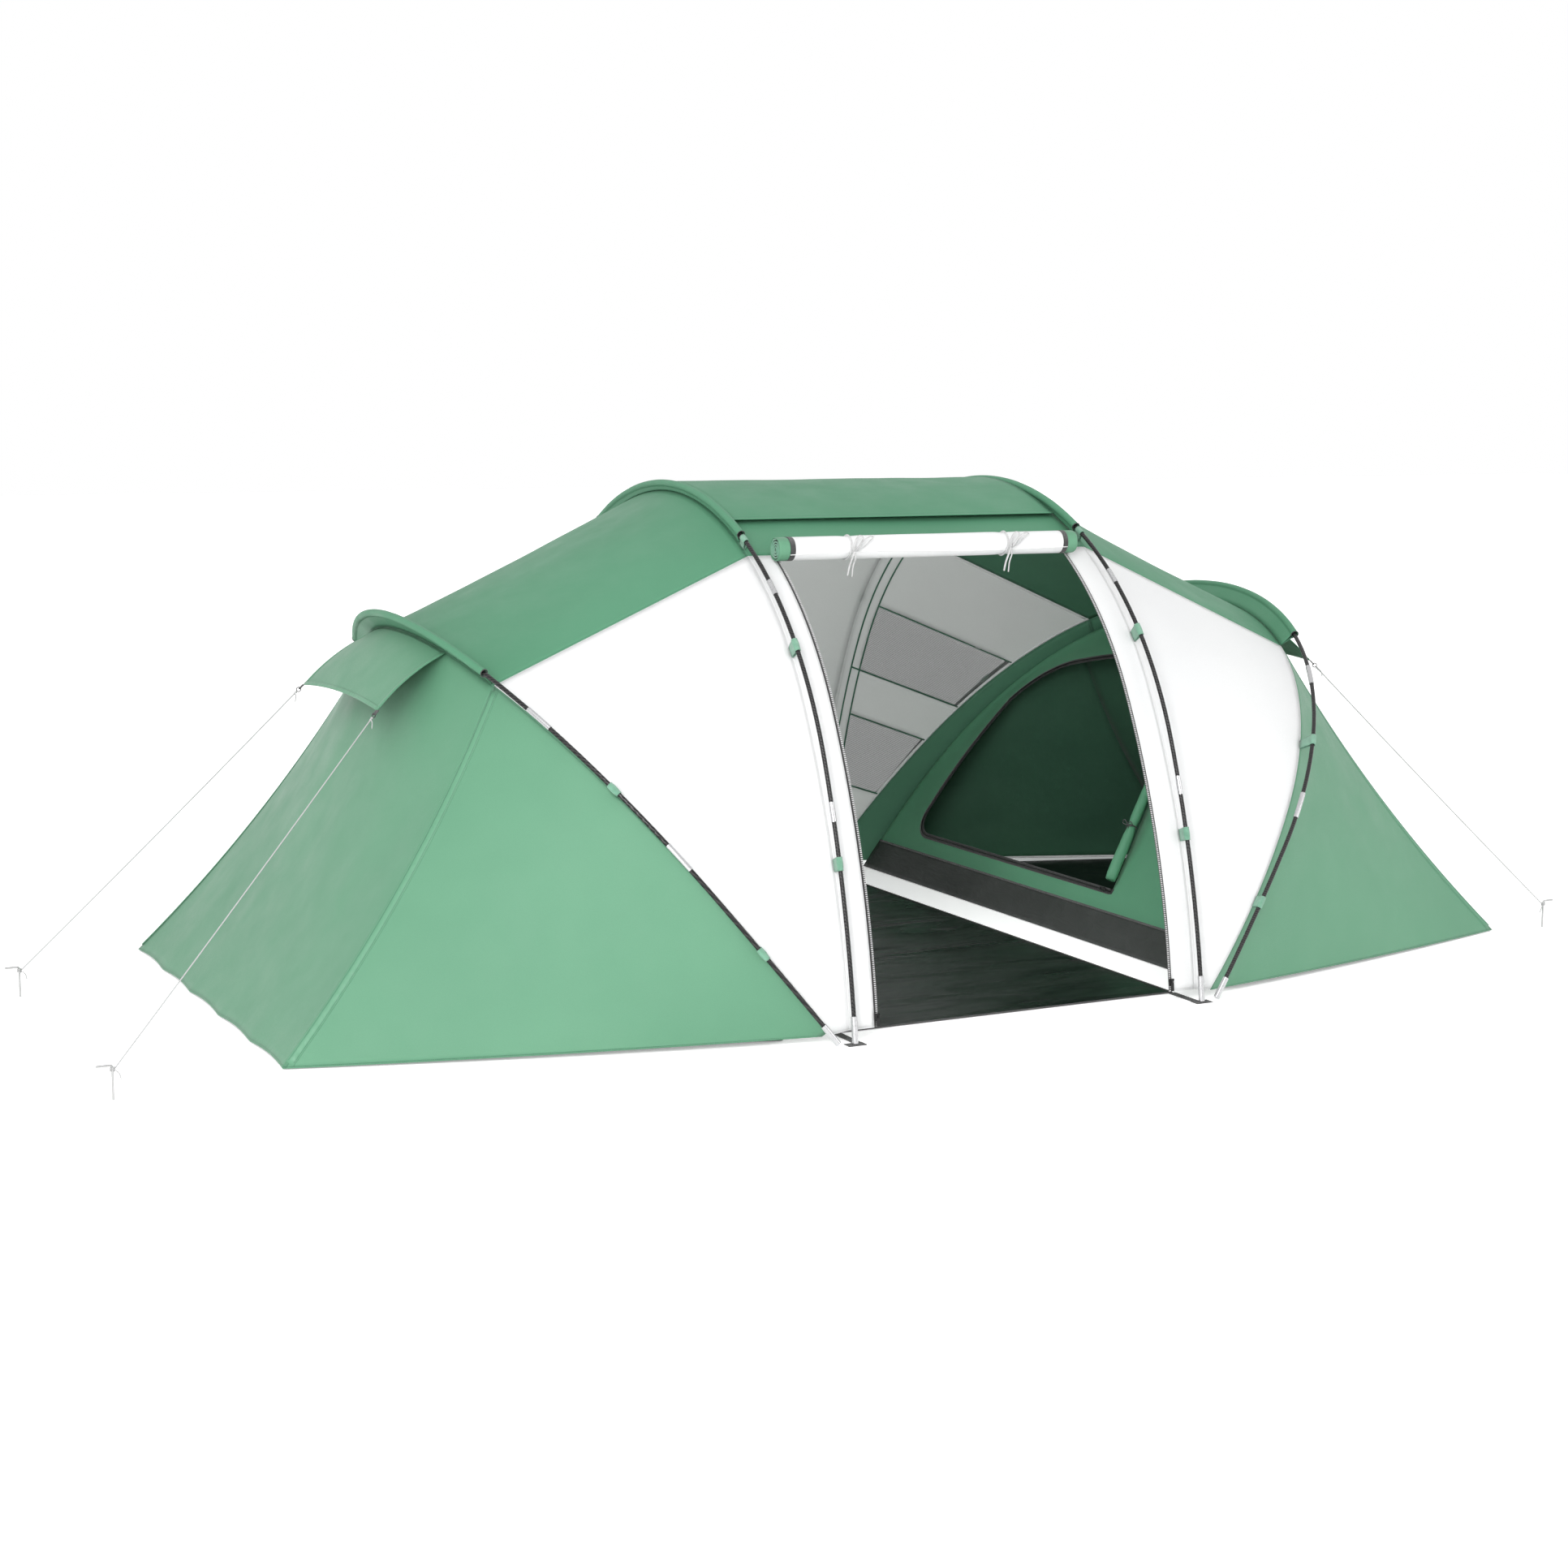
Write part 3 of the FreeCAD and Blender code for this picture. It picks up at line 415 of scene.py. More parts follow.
# ---- materials --------------------------------------------------------------------------------
class Shade:
    """Principled material with a few node helpers."""

    def __init__(self, name, colour, roughness, **sockets):
        self.material = bpy.data.materials.new(name)
        self.material.use_nodes = True
        self.tree = self.material.node_tree
        self.shader = next(n for n in self.tree.nodes if n.type == "BSDF_PRINCIPLED")
        self.shader.inputs["Base Color"].default_value = (*colour, 1)
        self.shader.inputs["Roughness"].default_value = roughness
        for key, value in sockets.items():
            self.shader.inputs[key.replace("_", " ")].default_value = value
        self.bump_from = None

    def node(self, kind, inputs=(), **settings):
        made = self.tree.nodes.new("ShaderNode" + kind)
        for key, value in settings.items():
            setattr(made, key, value)
        for key, value in dict(inputs).items():
            self.set(made.inputs[key], value)
        return made

    def set(self, socket, value):
        if isinstance(value, bpy.types.NodeSocket):
            self.tree.links.new(value, socket)
        else:
            socket.default_value = value

    def place(self, scale=(1, 1, 1), uv=None):
        if uv:
            vector = self.node("UVMap", uv_map=uv).outputs[0]
        else:
            vector = self.node("TexCoord").outputs["Object"]
        return self.node("Mapping", {"Vector": vector, "Scale": scale}).outputs[0]

    def noise(self, scale, detail=2.0, vector=None, distortion=0.0):
        return self.node("TexNoise", {"Vector": vector or self.place(), "Scale": scale, "Detail": detail,
                                      "Distortion": distortion}).outputs["Fac"]

    def wave(self, vector, scale, distortion=0.0, direction="DIAGONAL", detail=2.0):
        inputs = {"Vector": vector, "Scale": scale, "Distortion": distortion, "Detail": detail}
        return self.node("TexWave", inputs, bands_direction=direction).outputs["Fac"]

    def lengths(self, uv):
        """The two coordinates of a UV map."""
        return self.node("SeparateXYZ", {"Vector": self.node("UVMap", uv_map=uv).outputs[0]}).outputs

    def maths(self, operation, a, b=0.0, c=0.0, clamp=False):
        made = self.node("Math", operation=operation, use_clamp=clamp)
        for socket, value in zip(made.inputs, (a, b, c)):
            self.set(socket, value)
        return made.outputs[0]

    def ramp(self, factor, low, high, start=0.3, end=0.7):
        made = self.node("ValToRGB", {"Fac": factor})
        for element, place, colour in zip(made.color_ramp.elements, (start, end), (low, high)):
            element.position = place
            element.color = (*colour, 1) if len(colour) == 3 else colour
        return made.outputs["Color"]

    def remap(self, value, low, high, start=0.0, end=1.0):
        made = self.node("MapRange", {"Value": value, "From Min": start, "From Max": end,
                                      "To Min": low, "To Max": high})
        return made.outputs[0]

    def colour(self, value):
        self.set(self.shader.inputs["Base Color"], value)

    def roughness(self, value):
        self.set(self.shader.inputs["Roughness"], value)

    def blend(self, factor, a, b, blend_type="MIX"):
        made = self.node("Mix", data_type="RGBA", blend_type=blend_type)
        self.set(made.inputs[0], factor)
        for socket, value in zip([s for s in made.inputs if s.type == "RGBA"], (a, b)):
            self.set(socket, value if isinstance(value, bpy.types.NodeSocket) else (*value, 1))
        return next(s for s in made.outputs if s.type == "RGBA")

    def bump(self, height, distance, strength=1.0):
        inputs = {"Height": height, "Distance": distance, "Strength": strength}
        if self.bump_from:
            inputs["Normal"] = self.bump_from
        self.bump_from = self.node("Bump", inputs).outputs[0]
        self.set(self.shader.inputs["Normal"], self.bump_from)


STITCH_INSET = 0.006
STITCH_LENGTH = 0.0045
STITCH_THREAD = 0.0009
WEAVE_PITCH = 0.0016
NET_PITCH = 0.0026


def weave_height(shade, pitch):
    """Plain weave from two crossed waves on the cloth's own lengths."""
    warp = shade.wave(shade.place((1 / pitch, 0, 0), uv="cloth"), 1.0, 0.4, "X")
    weft = shade.wave(shade.place((0, 1 / pitch, 0), uv="cloth"), 1.0, 0.4, "Y")
    return shade.maths("MULTIPLY", warp, weft)


def stitch_mask(shade):
    """Dashes of thread a little way in from the cloth's four edges."""
    edge, where = shade.lengths("edge"), shade.lengths("cloth")
    rows = []
    for near, run in ((edge[0], where[1]), (edge[1], where[0])):
        off = shade.maths("ABSOLUTE", shade.maths("SUBTRACT", near, STITCH_INSET))
        row = shade.maths("LESS_THAN", off, STITCH_THREAD)
        phase = shade.maths("FRACT", shade.maths("DIVIDE", run, STITCH_LENGTH))
        dash = shade.maths("LESS_THAN", phase, 0.68)
        rows.append(shade.maths("MULTIPLY", row, dash))
    return shade.maths("MAXIMUM", rows[0], rows[1])


def pucker(shade, reach=0.03):
    """Small gathers that fade out with the distance from a sewn edge."""
    edge = shade.lengths("edge")
    near = shade.remap(shade.maths("MINIMUM", edge[0], edge[1]), 1.0, 0.0, 0.0, reach)
    gathers = shade.noise(70.0, 1.0, shade.place((1.0, 1.0, 0.35)))
    return shade.maths("MULTIPLY", gathers, shade.maths("MAXIMUM", near, 0.0))


def let_light_through(shade, share, colour):
    """Thin cloth: part of the light that falls on its far side shows on this one."""
    glow = shade.node("BsdfTranslucent", {"Color": (*colour, 1)})
    mix = shade.node("MixShader", {0: share, 1: shade.shader.outputs[0], 2: glow.outputs[0]})
    output = next(n for n in shade.tree.nodes if n.type == "OUTPUT_MATERIAL")
    shade.set(output.inputs["Surface"], mix.outputs[0])


def cloth_shade(name, dark, light, thread, rough, sheen, through, glow, crinkle=0.0016):
    """Woven polyester, with stitches, crinkles, puckered seams and light shining through."""
    shade = Shade(name, light, rough, Sheen_Weight=sheen, Sheen_Roughness=0.45, Specular_IOR_Level=0.35)
    let_light_through(shade, through, glow)
    tone = shade.ramp(shade.noise(1.7, 3.0), dark, light, 0.32, 0.68)
    grain = shade.ramp(shade.noise(420.0, 2.0), (0.94, 0.94, 0.94), (1.0, 1.0, 1.0))
    tone = shade.blend(1.0, tone, grain, "MULTIPLY")
    shade.colour(shade.blend(stitch_mask(shade), tone, thread))
    shade.roughness(shade.remap(shade.noise(9.0, 3.0), rough - 0.06, rough + 0.08, 0.3, 0.7))
    shade.bump(shade.noise(6.5, 3.0, distortion=0.6), crinkle)
    shade.bump(shade.noise(26.0, 2.0, distortion=1.2), crinkle * 0.22)
    shade.bump(pucker(shade), 0.0016)
    shade.bump(weave_height(shade, WEAVE_PITCH), 0.00012)
    shade.bump(stitch_mask(shade), 0.0006)
    return shade.material


def mesh_shade():
    """Fine knitted net, heavier along its level courses; what is behind it shows through."""
    shade = Shade("window_mesh", (0.26, 0.27, 0.265), 0.65)
    net = weave_height(shade, NET_PITCH)
    courses = shade.wave(shade.place((0, 1, 0), uv="cloth"), 62.0, direction="Y")
    shade.colour(shade.ramp(courses, (0.12, 0.125, 0.122), (0.40, 0.41, 0.405)))
    hole = shade.maths("MULTIPLY", shade.remap(net, 0.25, 0.62, 0.1, 0.55), 1.0, clamp=True)
    shade.set(shade.shader.inputs["Alpha"], shade.maths("SUBTRACT", 1.0, hole, clamp=True))
    shade.bump(net, 0.0004)
    return shade.material


def black_sheet_shade():
    """Coated groundsheet: long smooth folds across it, coloured lighter and greener along them in painted
    reflection streaks.
    """
    shade = Shade("groundsheet_black", (0.02, 0.022, 0.02), 0.3, Coat_Weight=0.06, Coat_Roughness=0.16,
                  Specular_IOR_Level=0.38)
    creases_and_reflection = shade.noise(1.0, 1.5, shade.place((1.3, 4.5, 2.0)), 0.8)
    # Painted reflection: the ramp makes the folds lighter and greener, standing for the green tent's
    # reflection in the coating.
    shade.colour(shade.ramp(creases_and_reflection, (0.004, 0.006, 0.005), (0.009, 0.015, 0.011)))
    shade.roughness(shade.remap(creases_and_reflection, 0.26, 0.40, 0.35, 0.7))
    shade.bump(creases_and_reflection, 0.055)
    shade.bump(shade.noise(1.0, 1.0, shade.place((3.0, 11.0, 3.0)), 0.5), 0.006)
    return shade.material


def mudwall_shade():
    shade = Shade("mudwall_black", (0.035, 0.036, 0.035), 0.5, Specular_IOR_Level=0.32)
    shade.colour(shade.ramp(shade.noise(7.0, 3.0), (0.022, 0.025, 0.023), (0.034, 0.037, 0.035)))
    shade.bump(shade.noise(9.0, 3.0, shade.place((1.0, 1.0, 3.0)), 0.8), 0.004)
    shade.bump(shade.noise(600.0, 1.0), 0.0001)
    return shade.material


def floor_shade():
    """Coated bedroom floor, near black."""
    shade = Shade("bedroom_floor_black", (0.006, 0.012, 0.009), 0.5, Specular_IOR_Level=0.25)
    shade.colour(shade.ramp(shade.noise(4.0, 2.0), (0.003, 0.008, 0.005), (0.007, 0.014, 0.010)))
    shade.bump(shade.noise(6.0, 2.0), 0.008)
    return shade.material


def pole_shade():
    shade = Shade("pole_glass_fibre", (0.010, 0.010, 0.011), 0.30, Coat_Weight=0.05, Coat_Roughness=0.12,
                  Specular_IOR_Level=0.30)
    twist = shade.wave(shade.place((60.0, 46.0, 52.0)), 1.0, 2.5, detail=1.0)
    shade.colour(shade.ramp(twist, (0.005, 0.005, 0.006), (0.026, 0.025, 0.024), 0.35, 0.9))
    shade.roughness(shade.remap(shade.noise(40.0, 3.0), 0.16, 0.34, 0.3, 0.7))
    shade.bump(twist, 0.0004)
    return shade.material


def metal_shade(name, colour, rough):
    shade = Shade(name, colour, rough, Metallic=1.0)
    scratch = shade.noise(1.0, 4.0, shade.place((900.0, 900.0, 60.0)))
    shade.colour(shade.ramp(scratch, tuple(c * 0.78 for c in colour), colour))
    shade.roughness(shade.remap(scratch, rough - 0.08, rough + 0.12, 0.3, 0.7))
    shade.bump(scratch, 0.0001)
    return shade.material


def webbing_shade(name, dark, light, scale=700.0):
    shade = Shade(name, light, 0.6, Sheen_Weight=0.25)
    rib = shade.wave(shade.place(), scale, 1.0)
    tone = shade.ramp(shade.noise(60.0, 2.0), dark, light)
    ribbing = shade.ramp(rib, (0.85, 0.85, 0.85), (1.0, 1.0, 1.0))
    shade.colour(shade.blend(1.0, tone, ribbing, "MULTIPLY"))
    shade.bump(rib, 0.0003)
    return shade.material


def rope_shade():
    shade = Shade("guy_rope_grey", (0.42, 0.42, 0.42), 0.7)
    strand = shade.wave(shade.place((420.0, 420.0, 420.0)), 0.35, 0.6)
    shade.colour(shade.ramp(strand, (0.27, 0.27, 0.27), (0.5, 0.5, 0.5)))
    shade.bump(strand, 0.0006)
    return shade.material


def plain_shade(name, colour, rough, **sockets):
    shade = Shade(name, colour, rough, **sockets)
    shade.colour(shade.ramp(shade.noise(80.0, 3.0), tuple(c * 0.75 for c in colour), colour))
    shade.bump(shade.noise(320.0, 2.0), 0.0002)
    return shade.material


GREEN_GLOW = (0.20, 0.42, 0.28)
GREEN = cloth_shade("green_polyester", (0.100, 0.262, 0.158), (0.114, 0.288, 0.175),
                    (0.040, 0.145, 0.085), 0.42, 0.06, 0.12, GREEN_GLOW)
# Painted shade: the roof, rain cover and sleeves take a darker copy of the same green polyester, standing
# for the roof being less lit than the front panels.
GREEN_ROOF_SHADED = cloth_shade("green_polyester_roof_painted_shade", (0.074, 0.238, 0.135), (0.084, 0.260, 0.150),
                         (0.035, 0.120, 0.075), 0.50, 0.02, 0.12, GREEN_GLOW)
# Painted shade: the inside faces of the green cloth are a darker copy of green_polyester, standing for the
# shade inside the tent.
GREEN_BACK = cloth_shade("green_polyester_inside_painted_shade", (0.085, 0.230, 0.145), (0.098, 0.255, 0.162),
                         (0.04, 0.11, 0.07), 0.55, 0.04, 0.30, GREEN_GLOW)
WHITE = cloth_shade("white_polyester", (0.84, 0.842, 0.85), (0.88, 0.88, 0.885),
                    (0.72, 0.73, 0.73), 0.5, 0.12, 0.30, (0.90, 0.91, 0.90))
# Painted shade: the inside faces of the white walls are a greyer copy of the white polyester, standing for
# the shade inside the tent.
WHITE_BACK = cloth_shade("white_polyester_inside_painted_shade", (0.70, 0.71, 0.705), (0.76, 0.77, 0.765),
                         (0.5, 0.52, 0.51), 0.55, 0.08, 0.45, (0.90, 0.92, 0.90))
# Painted shade: the bedroom canopy behind the wall is a much darker copy of the bedroom wall's green,
# standing for the shade deep inside the tent.
LINER = cloth_shade("bedroom_liner_painted_shade", (0.050, 0.135, 0.085), (0.062, 0.160, 0.100),
                    (0.03, 0.09, 0.06), 0.55, 0.08, 0.35, (0.22, 0.50, 0.32), crinkle=0.003)
WALL_LINER = cloth_shade("bedroom_wall", (0.110, 0.320, 0.190), (0.130, 0.355, 0.215),
                         (0.04, 0.12, 0.08), 0.50, 0.05, 0.35, (0.25, 0.60, 0.38), crinkle=0.003)
MESH = mesh_shade()
SHEET_BLACK = black_sheet_shade()
MUD_BLACK = mudwall_shade()
FLOOR_BLACK = floor_shade()
POLE = pole_shade()
FERRULE = metal_shade("ferrule_silver", (0.60, 0.60, 0.61), 0.26)
PEG = metal_shade("peg_zinc", (0.50, 0.50, 0.50), 0.34)
WEB_GREEN = webbing_shade("webbing_green", (0.12, 0.30, 0.20), (0.17, 0.38, 0.26))
WEB_BLACK = webbing_shade("webbing_black", (0.012, 0.012, 0.012), (0.03, 0.03, 0.03))
WEB_WHITE = webbing_shade("webbing_white", (0.80, 0.80, 0.80), (0.92, 0.92, 0.92))
TIE_WHITE = webbing_shade("tie_tape_white", (0.50, 0.50, 0.50), (0.66, 0.66, 0.66))
PIPING = webbing_shade("piping_green", (0.02, 0.12, 0.068), (0.035, 0.16, 0.09))
ROPE = rope_shade()
ZIP_METAL = plain_shade("zip_slider_black", (0.02, 0.02, 0.02), 0.35, Metallic=0.6)
ZIP_TAPE = webbing_shade("zip_tape_black", (0.004, 0.004, 0.004), (0.009, 0.009, 0.009), 1200.0)
ZIP_PALE = plain_shade("zip_teeth_pale", (0.55, 0.55, 0.55), 0.4)


# ---- folds ------------------------------------------------------------------------------------
def fade(distance, reach):
    t = max(0.0, min(1.0, distance / reach))
    return t * t * (3 - 2 * t)


def wavy(seed, size, stretch=(1.0, 1.0, 1.0), depth=0.004, sag=0.0):
    """Slack of a stretched panel: it sags between its edges and ripples gently."""
    def folds(u, v, rim, point):
        spot = Vector([along * scale for along, scale in zip(point, stretch)]) / size
        ripple = noise.noise(spot + Vector((seed, 0, 0)))
        ripple += 0.4 * noise.noise(spot * 2.6 + Vector((0, seed, 0)))
        return depth * ripple * fade(min(rim), 0.16) - sag * 16 * u * (1 - u) * v * (1 - v)
    return folds


# ---- fly --------------------------------------------------------------------------------------
def tunnel(x0, x1, s0, s1):
    def point_at(u, v):
        y, w, _ = CENTRE_CLOTH.at(s0 + (s1 - s0) * v)
        return Vector((x0 + (x1 - x0) * u, y, w))
    return point_at


def flip(point, back):
    return Vector((point.x, -point.y, point.z)) if back else point


def sector(side, back, centre_s, end_s):
    near, far = centre_hoop(side), end_hoop(side)

    def point_at(u, v):
        a = near.point(centre_s[0] + (centre_s[1] - centre_s[0]) * v)
        b = far.point(end_s[0] + (end_s[1] - end_s[0]) * v)
        return flip(a + (b - a) * u, back)
    return point_at


def width_at(surface, v):
    return (surface(1, v) - surface(0, v)).length


def narrowed(point_at, left, right, v0, v1):
    def part_at(u, v):
        t = v0 + (v1 - v0) * v
        width = width_at(point_at, t)
        a, b = left / width, 1 - right / width
        return point_at(a + (b - a) * u, t)
    return part_at


def wall_surface(side, back):
    return sector(side, back, (HEM_S, CENTRE_ROOF_S), (HEM_S, END_ROOF_S))


def sag_direction(side):
    crown = end_hoop(side).point(END_CLOTH.length / 2)
    fall = Vector((side * CORNER.x, 0, 0)) - crown
    return Vector((fall.z * side, 0, -fall.x * side)).normalized()


def gusset(side, back, top, foot, corner, seam_s, sag, bow):
    inwards = sag_direction(side)

    def point_at(u, v):
        high = top.point(GUSSET_FIRST_S + (seam_s - GUSSET_FIRST_S) * v)
        low = foot + (corner - foot) * v + Vector((0, -bow * 4 * v * (1 - v), 0))
        low = Vector((low.x * side, low.y, low.z))
        return flip(high + (low - high) * u + inwards * (sag * 4 * u * (1 - u) * v), back)
    return point_at


def end_surface(side, top, corner, seam_s, seam_sag, middle_sag, scallops=0):
    inwards = sag_direction(side)
    last_s = top.arch.length - seam_s

    def point_at(u, v):
        high = top.point(seam_s + (last_s - seam_s) * v)
        low = Vector((side * corner.x, corner.y * (1 - 2 * v), corner.z))
        if scallops:
            lift = abs(math.sin(math.pi * scallops * v))
            low += Vector((-side * 0.007, 0, 0.005)) * lift
        sag = seam_sag + (middle_sag - seam_sag) * 4 * v * (1 - v)
        return high + (low - high) * u + inwards * (sag * 4 * u * (1 - u))
    return point_at


def fly_end(side):
    return end_surface(side, end_hoop(side), CORNER, CONE_SEAM_S, SEAM_SAG, END_SAG, scallops=5)


def vent_patch(side):
    whole = fly_end(side)
    low, high = VENT_BAND

    def point_at(u, v):
        down = low + (high - low) * u
        a = VENT_CLEAR / (whole(down, 1) - whole(down, 0)).length
        return whole(down, a + (1 - 2 * a) * v)
    return point_at


def visor_surface(side):
    top = end_hoop(side)
    last_s = END_CLOTH.length - VISOR_ROOT_S

    def point_at(u, v):
        y = VISOR.y * (2 * v - 1)
        root = top.point(VISOR_ROOT_S + (last_s - VISOR_ROOT_S) * v)
        tip = Vector((side * VISOR.x, y, VISOR.z + VISOR_ARCH * (1 - (y / VISOR.y) ** 2)))
        root = root + (tip - root).normalized() * 0.010 + Vector((0, 0, 0.005))
        lift = 0.014 * 4 * u * (1 - u)
        return root + (tip - root) * u + Vector((side * 0.6, 0, 0.8)) * lift
    return point_at


def cover_surface():
    """Second layer over the crown: sewn at the back, free along its front edge."""
    back_s = CENTRE_CLOTH.length - COVER_S

    def point_at(u, v):
        y, w, heading = CENTRE_CLOTH.at(back_s + (COVER_S - back_s) * v)
        rise = 4 * v * (1 - v)
        lift = COVER_SEWN + (COVER_LIFT - COVER_SEWN) * rise
        lift += (COVER_FREE - COVER_SEWN) * v ** 4 * (1 - rise)
        x = COVER_HALF * (2 * u - 1)
        return Vector((x, y - math.cos(heading) * lift, w + math.sin(heading) * lift))
    return point_at


def tape(name, lines, width, thickness, material, node=None):
    """Flat tapes sewn along lines on the cloth; each line is a list of (point, outward normal)."""
    parts = []
    for line in lines:
        verts, faces = [], []
        count = len(line)
        for i, (point, normal) in enumerate(line):
            tangent = (line[min(i + 1, count - 1)][0] - line[max(i - 1, 0)][0]).normalized()
            side = tangent.cross(normal).normalized() * (width / 2)
            rise = normal * thickness
            verts += [point + side, point + side * 0.9 + rise, point - side * 0.9 + rise, point - side]
        for i in range(count - 1):
            a, b = i * 4, i * 4 + 4
            faces += [(a + k, a + (k + 1) % 4, b + (k + 1) % 4, b + k) for k in range(4)]
        faces += [(3, 2, 1, 0), tuple(len(verts) - 4 + k for k in range(4))]
        parts.append((verts, faces))
    piece = new_piece(name, *merged(parts), [material])
    if node:
        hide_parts(node)
    return piece


def with_normals(point_at, points, lift, inward=False):
    """Places (u, v) on a surface as (point, normal), pushed out or inward by lift."""
    line = []
    for u, v in points:
        here = point_at(u, v)
        du = point_at(min(u + 0.01, 1), v) - point_at(max(u - 0.01, 0), v)
        dv = point_at(u, min(v + 0.01, 1)) - point_at(u, max(v - 0.01, 0))
        normal = outward(du.cross(dv).normalized(), here) * (-1 if inward else 1)
        line.append((here + normal * lift, normal))
    return line


def build_fly():
    tunnel_end = CENTRE_CLOTH.length
    roof_end = tunnel_end - CENTRE_ROOF_S
    roof_looks, wall_looks = [GREEN_ROOF_SHADED, GREEN_BACK], [WHITE, WHITE_BACK]
    cloth("roof_middle", tunnel(-CENTRE_X, CENTRE_X, CENTRE_ROOF_S, roof_end), 44, 60, roof_looks,
          "roof_centre", wavy(3.0, 0.30, (0.6, 1.0, 1.0), 0.0035, 0.003))
    cloth("back_wall_middle", tunnel(-CENTRE_X, CENTRE_X, tunnel_end - HEM_S, roof_end), 40, 50, wall_looks,
          "back_wall_centre", wavy(5.0, 0.34, (1.0, 1.0, 0.5), 0.006, 0.004))
    cloth("rain_cover", cover_surface(), 50, 40, roof_looks, "rain_flap",
          wavy(6.0, 0.25, (1.0, 0.6, 0.6), 0.0022))
    hem = [with_normals(cover_surface(), [(u, 0.995) for u in span(50)], 0.0003)]
    tape("rain_cover_hem", hem, 0.014, 0.0012, GREEN_ROOF_SHADED)
    for side, name in SIDES:
        strip = tunnel(side * (ZIP_X + ZIP_HALF), side * CENTRE_X, HEM_S, CENTRE_ROOF_S)
        cloth("door_strip_cloth_" + name, strip, 8, 60, wall_looks, "door_strip_" + name,
              wavy(8.0 + side, 0.12, (1.0, 1.0, 0.4), 0.0015))
        band = sector(side, False, (CENTRE_ROOF_S, roof_end), (END_ROOF_S, END_CLOTH.length - END_ROOF_S))
        cloth("roof_cloth_" + name, band, 40, 64, roof_looks, "roof_" + name,
              wavy(11.0 + side, 0.32, (0.5, 1.0, 1.0), 0.004, 0.007))
        cloth("front_wall_cloth_" + name, wall_surface(side, False), 32, 56, wall_looks,
              "front_wall_" + name, wavy(14.0 + side, 0.30, (1.0, 1.0, 0.5), 0.004, 0.006))
        build_back_wall(side, name)
        build_cone(side, name)
        build_visor(side, name)


WALL_STOPS = (0, 1, 3, 18, 20)      # the wall's mesh columns at its edge, piping and windows' sides


def wall_columns(surface):
    """Where the back wall's mesh columns run, so that edges follow the piping and the windows' sides."""
    def across(u, v):
        width = width_at(surface, v)
        wanted = (0.0, PIPING_INSET / width, WINDOW_LEFT / width, 1 - WINDOW_RIGHT / width, 1.0)
        even = [column / 20 for column in WALL_STOPS]
        wide = fade(width - 0.11, 0.12)    # down by the hem the wall is narrower than the windows' margins
        edges = [b + (a - b) * wide for a, b in zip(wanted, even)]
        column = u * 20
        k = next((k for k in range(3) if column <= WALL_STOPS[k + 1]), 3)
        first, last = WALL_STOPS[k], WALL_STOPS[k + 1]
        return edges[k] + (edges[k + 1] - edges[k]) * (column - first) / (last - first)
    return across


def build_back_wall(side, name):
    """White wall with two meshed windows."""
    surface = wall_surface(side, True)
    across = wall_columns(surface)
    stops = (0.0, *WINDOW_BANDS[0], *WINDOW_BANDS[1], 1.0)
    places = [0.0]
    for low, high, count in zip(stops, stops[1:], (12, 10, 8, 10, 14)):
        places += [low + (high - low) * (i + 1) / count for i in range(count)]

    def point_at(u, v):
        t = between(places, v)
        return surface(across(u, t), t)

    def in_window(u, v):
        t = between(places, v)
        return 3 / 20 < u < 18 / 20 and any(low < t < high for low, high in WINDOW_BANDS)

    cloth("back_wall_cloth_" + name, point_at, 20, len(places) - 1, [WHITE, WHITE_BACK],
          "back_wall_" + name, wavy(17.0 + side, 0.3, (1.0, 1.0, 0.5), 0.002), hole=in_window)
    for number, (low, high) in enumerate(WINDOW_BANDS):
        patch = narrowed(surface, WINDOW_LEFT - 0.003, WINDOW_RIGHT - 0.003, low - 0.002, high + 0.002)
        cloth("window_%s_%d" % (name, number + 1), patch, 20, 12, [MESH], None,
                             thickness=NET)
    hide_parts("mesh_inserts_" + name)
    build_window_piping(surface, name)


def build_window_piping(surface, name):
    """Piping round the windows and along the pole side, and pale tape on the wall's inner edges."""
    lines = []
    for inset in (PIPING_INSET, WINDOW_LEFT - 0.002):
        lines.append([(inset / width_at(surface, v), v) for v in (0.06 + 0.94 * t for t in span(40))])
    for v in (*WINDOW_BANDS[0], *WINDOW_BANDS[1]):
        inset = 0.036 if v == WINDOW_BANDS[1][0] else WINDOW_LEFT - 0.003
        start = inset / width_at(surface, v)
        lines.append([(start + (1 - start) * t, v) for t in span(16)])
    tapes = [with_normals(surface, line, CLOTH, inward=True) for line in lines]
    tapes += [with_normals(surface, line, 0.0002) for line in lines]
    tape("window_piping_" + name, tapes, 0.0062, 0.0012, PIPING)
    edge = with_normals(surface, [(0.992, v) for v in span(50)], CLOTH, inward=True)
    top = with_normals(surface, [(u, 0.995) for u in span(20)], CLOTH, inward=True)
    tape("wall_edge_tape_" + name, [edge, top], 0.007, 0.0015, WEB_WHITE)


